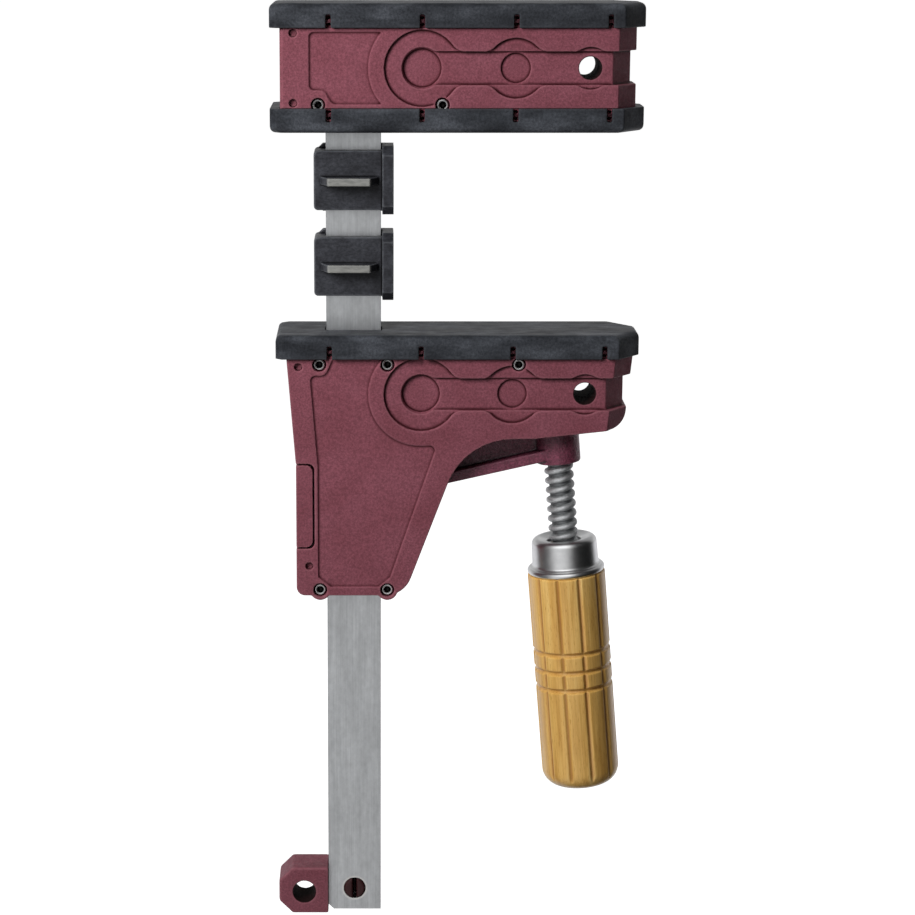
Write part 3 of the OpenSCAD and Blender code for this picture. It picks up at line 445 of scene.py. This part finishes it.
def ferrule_chrome():
    """Pressed sheet with a soft chrome shine."""
    material, tree, shader = new_material("ferrule_chrome", (0.56, 0.565, 0.57), 0.28, 1.0)
    dull = (0.7, 0.705, 0.715)
    bright = (0.82, 0.825, 0.83)
    fine = noise(tree, 0.5, 3, (6, 6, 1))
    dress(tree, shader, ramp(tree, noise(tree, 3, 3), [(0.3, dull), (0.7, bright)]),
          ramp(tree, fine, [(0.3, 0.28), (0.8, 0.35)]), bump(tree, noise(tree, 5, 1), 0.008))
    return material


def cast_core():
    """Dark iron as cast."""
    material, tree, shader = new_material("cast_core", (0.12, 0.12, 0.125), 0.6, 1.0)
    dark = (0.08, 0.08, 0.085)
    light = (0.16, 0.16, 0.165)
    rough_cast = noise(tree, 0.9, 4)
    colour = ramp(tree, rough_cast, [(0.3, dark), (0.7, light)])
    dress(tree, shader, colour, normal=bump(tree, rough_cast, 0.1))
    return material


def arm_paint():
    """Wine-red gloss paint over a rough casting."""
    material, tree, shader = new_material("arm_paint", (0.15, 0.035, 0.058), 0.34)
    deep = (0.135, 0.031, 0.055)
    pale = (0.22, 0.056, 0.094)
    dirt_and_shade = (0.03, 0.005, 0.013)
    rub_and_highlight = (0.3, 0.12, 0.16)
    coarse = noise(tree, 1.3, 4, rough=0.7)
    ground = ramp(tree, noise(tree, 4, 4), [(0.3, deep), (0.7, pale)])
    speck = ramp(tree, noise(tree, 0.9, 4, rough=0.8), [(0.36, 0.6), (0.5, 1.0), (0.64, 1.6)])
    # dirt with painted shade in the hollows, wear with a painted highlight on the edges
    dress(tree, shader, worn_with_painted_light(tree, multiplied(tree, ground, speck), dirt_and_shade, *SOFT_DIRT_AND_SHADE, rub_and_highlight, *SOFT_RUB_AND_HIGHLIGHT),
          ramp(tree, coarse, [(0.3, 0.22), (0.75, 0.42)]), bump(tree, coarse, 0.5))
    return material


def handle_wood():
    """Lacquered beech, honey coloured, its fibres along the screw, browned with painted shade where the
    cutters ran.
    """
    material, tree, shader = new_material("handle_wood", (0.6, 0.37, 0.12), 0.32)
    dark = (0.63, 0.342, 0.077)
    honey = (0.79, 0.475, 0.13)
    pale = (0.9, 0.61, 0.22)
    browned_and_shaded = (0.33, 0.125, 0.02)
    rub_and_highlight = (0.84, 0.57, 0.22)
    dark_fibre = (0.84, 0.76, 0.62)
    pale_fibre = (1.04, 1.04, 1.04)
    dark_pore = (0.74, 0.62, 0.46)
    no_pore = (1.0, 1.0, 1.0)
    lean = math.atan2(-SCREW_AXIS.x, SCREW_AXIS.z)
    fibres = noise(tree, 0.5, 4, (1, 1, 45), 0.7, lean)
    bands = noise(tree, 3.6, 3, (1, 1, 16), 0.6, lean)
    pores = noise(tree, 0.3, 2, (1, 1, 10), 0.5, lean)
    ground = ramp(tree, bands, [(0.3, dark), (0.5, honey), (0.7, pale)])
    lines = ramp(tree, fibres, [(0.3, dark_fibre), (0.6, pale_fibre)])
    flecks = ramp(tree, pores, [(0.3, dark_pore), (0.4, no_pore)])
    clean = multiplied(tree, multiplied(tree, ground, lines), flecks)
    # browning with painted shade in the flutes and grooves, wear with a painted highlight beside the flutes
    dress(tree, shader, worn_with_painted_light(tree, clean, browned_and_shaded, 0.1, 1.1, rub_and_highlight, -0.25, -1.0),
          ramp(tree, fibres, [(0.3, 0.3), (0.7, 0.42)]), bump(tree, fibres, 0.03))
    shader.inputs["Coat Weight"].default_value = 0.5
    shader.inputs["Coat Roughness"].default_value = 0.22
    return material


def support_plastic():
    """The supports' black plastic: a little glossier than the pads, its finger fins paler grey in front."""
    material, tree, shader = new_material("support_plastic", (0.02, 0.021, 0.023), 0.34, specular=0.18)
    deep = (0.024, 0.0245, 0.029)
    pale = (0.042, 0.0435, 0.051)
    dirt_and_shade = (0.003, 0.003, 0.004)
    rub_and_highlight = (0.13, 0.136, 0.15)
    fin_grey = (0.27, 0.27, 0.255)
    fin_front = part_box("upper_bar_support")[0].y
    clouds = ramp(tree, noise(tree, 6, 3, (1.6, 1, 1)), [(0.36, deep), (0.64, pale)])
    scuffs = ramp(tree, noise(tree, 1.1, 4, (1.5, 1, 1), 0.75), [(0.36, 0.62), (0.64, 1.35)])
    # dirt with painted shade in the hollows, wear with a painted highlight on the edges
    base = worn_with_painted_light(tree, multiplied(tree, clouds, scuffs), dirt_and_shade, *SOFT_DIRT_AND_SHADE, rub_and_highlight, -0.06, -0.3)
    # patches of paler grey along the fins' front edges
    fin_patches = ramp(tree, noise(tree, 1.4, 4, (3, 1, 1), 0.65), [(0.3, 0.55), (0.6, 1.0)])
    depth = along_axis(tree, coordinates(tree), "Y")
    in_front = between(tree, depth, fin_front + 1.6 * MM, fin_front + 0.5 * MM)
    dress(tree, shader, mixed(tree, calculate(tree, "MULTIPLY", in_front, fin_patches), base, fin_grey),
          ramp(tree, noise(tree, 2.2, 4, rough=0.6), [(0.3, 0.34), (0.7, 0.48)]),
          bump(tree, noise(tree, 0.5, 3, rough=0.6), 0.03))
    return material


# The screw's own frame: its tip at the origin, its axis along z
screw = joints["screw_turn"]
SCREW_AXIS = Vector(screw["axis"]).normalized()
SCREW_FRAME = (Matrix.Translation(screw["pos_m"])
               @ Vector((0, 0, 1)).rotation_difference(SCREW_AXIS).to_matrix().to_4x4())

finishes = {make.__name__: make() for make in (
    shell_plastic, pad_plastic, bar_steel, bright_steel, zinc_steel, ferrule_chrome, cast_core, arm_paint,
    handle_wood, support_plastic)}


# Pieces

def show(name, mesh, node):
    """A new piece that stands for a CAD node: it rides on the node's body and takes the node's finish."""
    piece = bpy.data.objects.new(name, mesh)
    scene.collection.objects.link(piece)
    mesh.materials.clear()
    mesh.materials.append(finishes[slots[node]])
    mesh.shade_smooth()
    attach(piece, nodes[node]["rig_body"])
    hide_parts(node)
    return piece


def worked(mesh, *steps):
    """A mesh put through modifiers, each given as (kind, settings)."""
    piece = bpy.data.objects.new("work", mesh)
    scene.collection.objects.link(piece)
    for kind, settings in steps:
        modifier = piece.modifiers.new(kind, kind)
        for name, value in settings.items():
            setattr(modifier, name, value)
    graph = bpy.context.evaluated_depsgraph_get()
    result = bpy.data.meshes.new_from_object(piece.evaluated_get(graph), depsgraph=graph)
    bpy.data.objects.remove(piece)
    return result


def mark_folds(mesh, rounds=16):
    """Stores each point's fold: how far evening out the surface would lift it, in millimetres."""
    count = len(mesh.vertices)
    at = np.empty(3 * count, np.float32)
    out = np.empty(3 * count, np.float32)
    ends = np.empty(2 * len(mesh.edges), np.int32)
    mesh.vertices.foreach_get("co", at)
    mesh.vertex_normals.foreach_get("vector", out)
    mesh.edges.foreach_get("vertices", ends)
    at = at.reshape(-1, 3)
    out = out.reshape(-1, 3)
    a, b = ends.reshape(-1, 2).T
    near = np.bincount(a, minlength=count) + np.bincount(b, minlength=count)
    even = at
    for _ in range(rounds):
        even = np.stack([np.bincount(a, even[b, k], count) + np.bincount(b, even[a, k], count)
                         for k in range(3)], -1) / near[:, None]
    lift = ((even - at) * out).sum(1) / MM
    mesh.attributes.new(FOLD, "FLOAT", "POINT").data.foreach_set("value", lift.astype(np.float32))


def softened(node, name, cell, rounds, faces):
    """A CAD solid with its edges rounded as a mould leaves them: cut into cells, eased, then thinned out."""
    eased = worked(nodes[node].data.copy(), ("REMESH", dict(mode="VOXEL", voxel_size=cell * MM)),
                   ("SMOOTH", dict(factor=0.5, iterations=rounds)))
    mark_folds(eased)
    keep = min(1.0, faces / (2 * len(eased.polygons)))
    return show(name, worked(eased, ("DECIMATE", dict(ratio=keep))), node)


def welded(node):
    """A copy of a CAD solid as a bmesh, its faces joined up and its flat faces whole."""
    work = bmesh.new()
    work.from_mesh(nodes[node].data)
    bmesh.ops.remove_doubles(work, verts=work.verts, dist=1e-3 * MM)
    bmesh.ops.dissolve_limit(work, angle_limit=math.radians(1), verts=work.verts, edges=work.edges)
    return work


def machined(node, name, width, segments):
    """A CAD solid of metal with a small bevel on its sharp edges."""
    sharp_angle = math.radians(30)
    work = welded(node)
    sharp = [edge for edge in work.edges if edge.is_manifold and edge.calc_face_angle() > sharp_angle]
    bmesh.ops.bevel(work, geom=sharp, offset=width * MM, offset_type="OFFSET", segments=segments, profile=0.5,
                    affect="EDGES", clamp_overlap=True)
    mesh = bpy.data.meshes.new(name)
    work.to_mesh(mesh)
    work.free()
    piece = show(name, mesh, node)
    piece.modifiers.new("normals", "WEIGHTED_NORMAL")
    return piece


def islands(node):
    """Lowest and highest corners of each separate solid of a CAD node."""
    work = welded(node)
    left = set(work.verts)
    boxes = []
    while left:
        found = set()
        edge = {left.pop()}
        while edge:
            found |= edge
            edge = {link.other_vert(v) for v in edge for link in v.link_edges} - found
        left -= found
        corners = np.array([v.co for v in found])
        boxes.append((corners.min(0), corners.max(0)))
    work.free()
    return sorted(boxes, key=lambda box: tuple(box[0]))


def grid_mesh(work, points, folds, layer):
    """Adds to a bmesh rows of points that run round an axis, capped at both ends, with a fold for each."""
    rows, columns = points.shape[:2]
    verts = []
    for row, depths in zip(points.tolist(), np.broadcast_to(folds, (rows, columns)).tolist()):
        verts.append([work.verts.new(p) for p in row])
        for vert, depth in zip(verts[-1], depths):
            vert[layer] = depth
    for i in range(rows - 1):
        for j in range(columns):
            k = (j + 1) % columns
            work.faces.new((verts[i][j], verts[i][k], verts[i + 1][k], verts[i + 1][j]))
    work.faces.new(list(reversed(verts[0])))
    work.faces.new(verts[-1])


def from_grids(name, grids, node):
    """A piece from grids of (points, folds)."""
    work = bmesh.new()
    layer = work.verts.layers.float.new(FOLD)
    for points, folds in grids:
        grid_mesh(work, points, folds, layer)
    bmesh.ops.recalc_face_normals(work, faces=work.faces)
    mesh = bpy.data.meshes.new(name)
    work.to_mesh(mesh)
    work.free()
    return show(name, mesh, node)


def angles(around):
    """Even angles round a circle, as a row."""
    return np.linspace(0, 2 * np.pi, around, endpoint=False)[None, :]


def round_axis(axis_frame, radius, angle, along):
    """Points from cylindrical places about the z axis of a frame, in millimetres."""
    height = np.broadcast_to(along, radius.shape)
    local = np.stack([radius * np.cos(angle), radius * np.sin(angle), height], -1) * MM
    return local @ np.array(axis_frame.to_3x3()).T + np.array(axis_frame.translation)


def arc(centre, radius, start, end, steps):
    """Points of an arc in the profile's plane, angles in degrees from the outward direction."""
    return [(centre[0] + radius * math.cos(math.radians(a)), centre[1] + radius * math.sin(math.radians(a)))
            for a in np.linspace(start, end, steps)]


def turned(axis_frame, profile, around):
    """A turned shape from a profile of (radius, height along the axis)."""
    profile = np.array(profile)
    return round_axis(axis_frame, np.repeat(profile[:, :1], around, 1), angles(around), profile[:, 1:])


def spindle():
    """Rolled thread with round crests, running out into the plain neck and the tang."""
    steps_per_turn = 20
    around = 96
    crest_half = 0.36
    flank_power = 2.4
    crown_power = 0.6
    thread_end = FERRULE_TOP - 3
    neck_gap = 0.2
    neck_ends = (THREAD_TOP + NECK_LEN, THREAD_TOP + neck_gap)
    tang_ends = (FERRULE_TOP - FERRULE_DISH, GRIP_TOP - TANG_LEN)
    along = np.arange(THREAD_TOP, thread_end, -THREAD_PITCH / steps_per_turn)[:, None]
    angle = angles(around)
    phase = (along / THREAD_PITCH - angle / (2 * np.pi)) % 1.0
    crest = np.clip(1 - (np.abs(phase - 0.5) / crest_half) ** flank_power, 0, 1) ** crown_power
    fade = np.clip((THREAD_TOP - along) / THREAD_RUN_OUT, 0, 1)
    radius = THREAD_R - THREAD_DEPTH + THREAD_DEPTH * crest * fade
    neck, tang = [round_axis(SCREW_FRAME, np.full((2, around), r), angle, np.array(ends)[:, None])
                  for ends, r in ((neck_ends, NECK_R), (tang_ends, TANG_R))]
    points = np.concatenate([neck, round_axis(SCREW_FRAME, radius, angle, along), tang])
    plain = np.zeros((2, around))
    # roots are marked as hollows for painted shade, crests as edges for a painted highlight
    folds = np.concatenate([plain, 1 - 2 * crest * fade, plain])
    return from_grids("threaded_spindle", [(points, folds)], "screw_spindle")


def ferrule():
    """Pressed collar with a dished top, a rolled shoulder and a beaded flange."""
    around = 160
    top = FERRULE_TOP
    seat = GRIP_TOP + 0.02
    flange_top = GRIP_TOP + FLANGE_H
    inner = FERRULE_R - FERRULE_WALL
    rim_r = 1.0
    rim_at = (7.8, top - 2.0)
    rim_foot = (FERRULE_HOLE, top - 2.6)
    dish_edge = (9.4, top - 0.5)
    shoulder_at = (FERRULE_R - SHOULDER_R, top - SHOULDER_R)
    skirt_foot = (FERRULE_R + 0.25, flange_top + 1.6)
    root_at = (FERRULE_R + 1.45, flange_top + 1.4)
    bead_r = FLANGE_H / 2
    bead_at = (GRIP_R - 0.05 - bead_r, GRIP_TOP + bead_r)
    bead_foot = (GRIP_R - 1.6, seat)
    dish = [(FERRULE_HOLE, top - FERRULE_DISH), rim_foot] + arc(rim_at, rim_r, 200, 100, 6) + [dish_edge]
    shoulder = arc(shoulder_at, SHOULDER_R, 100, 0, 14)
    skirt = [skirt_foot] + arc(root_at, FLANGE_ROOT_R, 180, 262, 6)
    flange = arc(bead_at, bead_r, 80, -60, 12) + [bead_foot]
    bore = [(inner, seat), (inner, top - FERRULE_DISH)]
    points = turned(SCREW_FRAME, dish + shoulder + skirt + flange + bore, around)
    return from_grids("ferrule_collar", [(points, 0.0)], "handle_ferrule")


def grip_profile():
    """The handle's profile without its flutes: tenon in the ferrule, grooved body and round end."""
    tenon_gap = 0.15
    tenon = FERRULE_R - FERRULE_WALL - tenon_gap
    rings = 300
    groove_power = 0.8
    end = GRIP_BOTTOM + GRIP_END_R
    profile = [(tenon, FERRULE_TOP - FERRULE_DISH), (tenon, GRIP_TOP + 0.05)]
    profile += arc((GRIP_R - GRIP_EDGE_R, GRIP_TOP - GRIP_EDGE_R), GRIP_EDGE_R, 90, 0, 5)
    for z in np.linspace(GRIP_TOP - GRIP_EDGE_R - 0.4, end + 0.3, rings):
        groove = 0.0
        for i in range(GROOVES):
            away = abs(z - (GRIP_TOP - GROOVE_DROP - i * GROOVE_PITCH)) / (GROOVE_W / 2)
            groove = max(groove, GROOVE_DEPTH * math.cos(math.pi / 2 * min(away, 1)) ** groove_power)
        profile.append((GRIP_R - groove, z))
    profile += arc((GRIP_R - GRIP_END_R, end), GRIP_END_R, 0, -90, 24)
    profile += [(r, GRIP_BOTTOM) for r in (6.0, 3.0, 0.6)]
    return np.array(profile)


def grip():
    """Turned handle with sharp flutes along it and turned grooves, marked for browning with painted shade in
    both and for wear with a painted highlight beside them.
    """
    per_flute = 26
    around = FLUTES * per_flute
    flank_slope = 0.95
    root_round = 0.06
    root_lift = 0.15
    groove_fold = 0.55
    rub_and_highlight_at = FLUTE_DEPTH * 1.15
    rub_and_highlight_half = 0.35
    rub_and_highlight_fold = 0.8
    profile = grip_profile()
    ceiling = np.repeat(profile[:, :1], around, 1)
    along = profile[:, 1:]
    angle = angles(around)
    flute = 2 * np.pi / FLUTES
    across = np.abs((angle - FLUTE_TURN + flute / 2) % flute - flute / 2) * GRIP_R
    cut = GRIP_R - FLUTE_DEPTH + np.sqrt((across * flank_slope) ** 2 + root_round) - root_lift
    wood = along < GRIP_TOP - 0.01
    radius = np.where(wood, np.minimum(ceiling, cut), ceiling)
    straight = wood & (along > GRIP_BOTTOM + GRIP_END_R)
    grooved = np.where(straight, GRIP_R - ceiling, 0) * groove_fold
    hollow = np.maximum((ceiling - radius) / FLUTE_DEPTH, grooved)
    # the depth of flutes and grooves takes browning with painted shade; the strip beside each flute takes
    # wear with a painted highlight
    shoulder = np.clip(1 - np.abs(across - rub_and_highlight_at) / rub_and_highlight_half, 0, 1) * (hollow < 0.1)
    folds = np.where(wood, hollow - rub_and_highlight_fold * shoulder, 0)
    return from_grids("wooden_grip", [(round_axis(SCREW_FRAME, radius, angle, along), folds)], "handle_grip")


def screw_heads(node, name):
    """Round heads with a rolled rim and a deep dark socket, on their shanks."""
    around = 40
    axis_r = 0.05
    grids = []
    for low, high in islands(node):
        rim = (high[0] - low[0]) / 2 / MM
        deep = (high[1] - low[1]) / MM
        socket = rim * SOCKET_SHARE
        lip = rim * LIP_SHARE
        shank = rim * SHANK_SHARE
        at = Vector(((low[0] + high[0]) / 2, low[1], (low[2] + high[2]) / 2))
        inward = Matrix.Translation(at) @ Matrix.Rotation(-math.pi / 2, 4, "X")
        hole = [(axis_r, SOCKET_DEPTH + SOCKET_CONE), (socket - SOCKET_CONE, SOCKET_DEPTH), (socket, lip)]
        crown = arc((socket + lip, lip), lip, 180, 270, 5) + arc((rim - lip, lip), lip, 270, 360, 5)
        stem = [(rim, HEAD_H), (shank, HEAD_H + 0.05), (shank, deep), (axis_r, deep)]
        profile = hole + crown + stem
        folds = np.zeros(len(profile))
        # the socket is marked as a full hollow, so that it takes the painted shade
        folds[:len(hole)] = 1.0
        grids.append((turned(inward, profile, around), folds[:, None]))
    return from_grids(name, grids, node)


# Moulded and cast pieces: node, name, cell in millimetres, rounds of easing and most faces
SHELL_EASE = (0.28, 7, 190_000)
PAD_EASE = (0.3, 6, 150_000)
SUPPORT_EASE = (0.25, 6, 100_000)
MOULDED = (
    ("fixed_jaw_front_shell", "fixed_jaw_front_half", *SHELL_EASE),
    ("moving_jaw_front_shell", "moving_jaw_front_half", *SHELL_EASE),
    ("fixed_jaw_rear_shell", "fixed_jaw_rear_half", *SHELL_EASE),
    ("moving_jaw_rear_shell", "moving_jaw_rear_half", *SHELL_EASE),
    ("fixed_jaw_upper_pad", "upper_pad_skin", *PAD_EASE),
    ("fixed_jaw_lower_pad", "lower_pad_skin", *PAD_EASE),
    ("moving_jaw_pad", "moving_pad_skin", *PAD_EASE),
    ("heel_cover", "heel_cover_skin", 0.25, 8, 60_000),
    ("clamping_arm", "cast_arm", 0.3, 16, 120_000),
    ("end_stop", "end_stop_skin", 0.34, 22, 100_000),
    ("upper_bar_support", "upper_support_skin", *SUPPORT_EASE),
    ("lower_bar_support", "lower_support_skin", *SUPPORT_EASE),
)
for moulded in MOULDED:
    softened(*moulded)
spindle()
ferrule()
grip()
screw_heads("fixed_jaw_screws", "fixed_shell_screws")
screw_heads("moving_jaw_screws", "moving_shell_screws")
machined("bar", "drawn_bar", width=0.6, segments=3)
for inner in ("fixed_jaw_core", "fixed_jaw_lock_pin", "moving_jaw_core", "upper_guide_block",
              "lower_guide_block", "thrust_plate", "thrust_shoe"):
    machined(inner, f"{inner}_metal", width=0.2, segments=2)


# Stage, light and camera

def studio(tree, vector, behind):
    """How bright the studio looks by direction: a white card in front, dark sides, a given grey behind."""
    level = vector_math(tree, "NORMALIZE", vector_math(tree, "MULTIPLY", vector, (1, 1, 0)))
    front = ramp(tree, between(tree, along_axis(tree, level, "X"), -1, 1), CARD)
    return mixed(tree, between(tree, along_axis(tree, level, "Y"), *BACK_ZONE), front, behind)


def is_ray(tree, kind):
    """1 for rays of a kind, 0 for others."""
    return tree.nodes.new("ShaderNodeLightPath").outputs[f"Is {kind} Ray"]


def emit(tree, colour):
    """A shader that glows with a colour."""
    glow = tree.nodes.new("ShaderNodeEmission")
    tree.links.new(colour, glow.inputs["Color"])
    return glow.outputs[0]


def choose(tree, test, otherwise, then):
    """One shader where a test is 1, another where it is 0."""
    mix = tree.nodes.new("ShaderNodeMixShader")
    tree.links.new(test, mix.inputs["Fac"])
    tree.links.new(otherwise, mix.inputs[1])
    tree.links.new(then, mix.inputs[2])
    return mix.outputs[0]


def by_ray(tree, plain, seen, mirrored):
    """One shader to the camera, another in mirrors and a plain one to all other rays."""
    direct = choose(tree, is_ray(tree, "Camera"), plain, seen)
    return choose(tree, is_ray(tree, "Glossy"), direct, mirrored)


def floor_material():
    """Bright to the camera, with a soft shadow, greyer to other pieces, the studio in mirrors."""
    material, tree, shader = new_material("floor", (0.4, 0.4, 0.4), 0.9, specular=0.0)
    from_middle = vector_math(tree, "ADD", coordinates(tree), (-MIRROR_AT_X, 0, 0))
    away = between(tree, vector_math(tree, "LENGTH", from_middle), 0.05, 1.2)
    white = tree.nodes.new("ShaderNodeBsdfDiffuse")
    white.inputs["Color"].default_value = (0.85, 0.85, 0.85, 1)
    seen = tree.nodes.new("ShaderNodeAddShader")
    tree.links.new(white.outputs[0], seen.inputs[0])
    glow = ramp(tree, away, [(0.0, 0.78), (0.3, 0.87), (0.5, 0.94), (1.0, 1.0)])
    tree.links.new(emit(tree, glow), seen.inputs[1])
    near_shade = ramp(tree, away, [(0.0, 0.85), (0.3, 1.0)])
    mirrored = emit(tree, multiplied(tree, studio(tree, from_middle, (0.85, 0.85, 0.87)), near_shade))
    tree.links.new(by_ray(tree, shader.outputs[0], seen.outputs[0], mirrored),
                   tree.nodes["Material Output"].inputs["Surface"])
    return material


def floor():
    """A wide floor, clear of the handle at the jaw's lowest place."""
    mesh = bpy.data.meshes.new("floor")
    corners = [(x * FLOOR_REACH, y * FLOOR_REACH, 0) for x, y in ((-1, -1), (1, -1), (1, 1), (-1, 1))]
    mesh.from_pydata(corners, [], [(0, 1, 2, 3)])
    mesh.materials.append(floor_material())
    piece = bpy.data.objects.new("floor", mesh)
    scene.collection.objects.link(piece)
    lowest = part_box("handle_grip")[0].z + joints["jaw_slide"]["range_m"][0]
    piece.location.z = min(lowest, cad_box[0].z) - ROCK_ROOM


def background(tree, strength, colour=None):
    """A background of a strength, white where no colour is given."""
    back = tree.nodes.new("ShaderNodeBackground")
    back.inputs["Strength"].default_value = strength
    if colour is None:
        back.inputs["Color"].default_value = (1, 1, 1, 1)
    else:
        tree.links.new(colour, back.inputs["Color"])
    return back.outputs[0]


def world():
    """White to the camera, a dim studio to all pieces and a brighter one in mirrors."""
    sky = bpy.data.worlds.new("studio")
    sky.use_nodes = True
    scene.world = sky
    tree = sky.node_tree
    way = coordinates(tree, "Generated")
    height = along_axis(tree, way, "Z")
    dimmed = multiplied(tree, studio(tree, way, (0.6, 0.6, 0.63)), ramp(tree, height, AMBIENT_BY_HEIGHT))
    wall = ramp(tree, height, WALL_BY_HEIGHT)
    lit = multiplied(tree, studio(tree, way, wall), ramp(tree, height, MIRRORED_BY_HEIGHT))
    surface = by_ray(tree, background(tree, AMBIENT_STRENGTH, dimmed), background(tree, 1.0),
                     background(tree, 1.0, lit))
    tree.links.new(surface, tree.nodes["World Output"].inputs["Surface"])


def lamp(name, toward, distance, size, watts):
    """A square soft light that shines on the middle of the clamp from a direction, and isn't mirrored."""
    middle = (cad_box[0] + cad_box[1]) / 2
    data = bpy.data.lights.new(name, "AREA")
    data.size = size
    data.energy = watts
    piece = bpy.data.objects.new(name, data)
    scene.collection.objects.link(piece)
    way = Vector(toward).normalized()
    piece.location = middle + way * distance
    piece.rotation_euler = way.to_track_quat("Z", "Y").to_euler()
    piece.visible_glossy = False


def camera():
    """The photograph's camera."""
    data = bpy.data.cameras.new("camera")
    data.sensor_width = SENSOR
    data.lens = SENSOR * FOCAL_PX / PICTURE
    data.shift_x = (PICTURE / 2 - AXIS_COLUMN) / PICTURE
    data.clip_start = NEAREST
    data.clip_end = FARTHEST
    piece = bpy.data.objects.new("camera", data)
    scene.collection.objects.link(piece)
    piece.location = CAMERA_AT
    piece.rotation_euler = (math.pi / 2 - PITCH, 0, 0)
    scene.camera = piece


floor()
world()
lamp("key", toward=(-0.5, -0.62, 0.5), distance=0.8, size=0.34, watts=6.5)
lamp("back", toward=(0.75, 0.65, 0.15), distance=1.3, size=0.6, watts=6.0)
camera()
scene.view_settings.view_transform = "Standard"
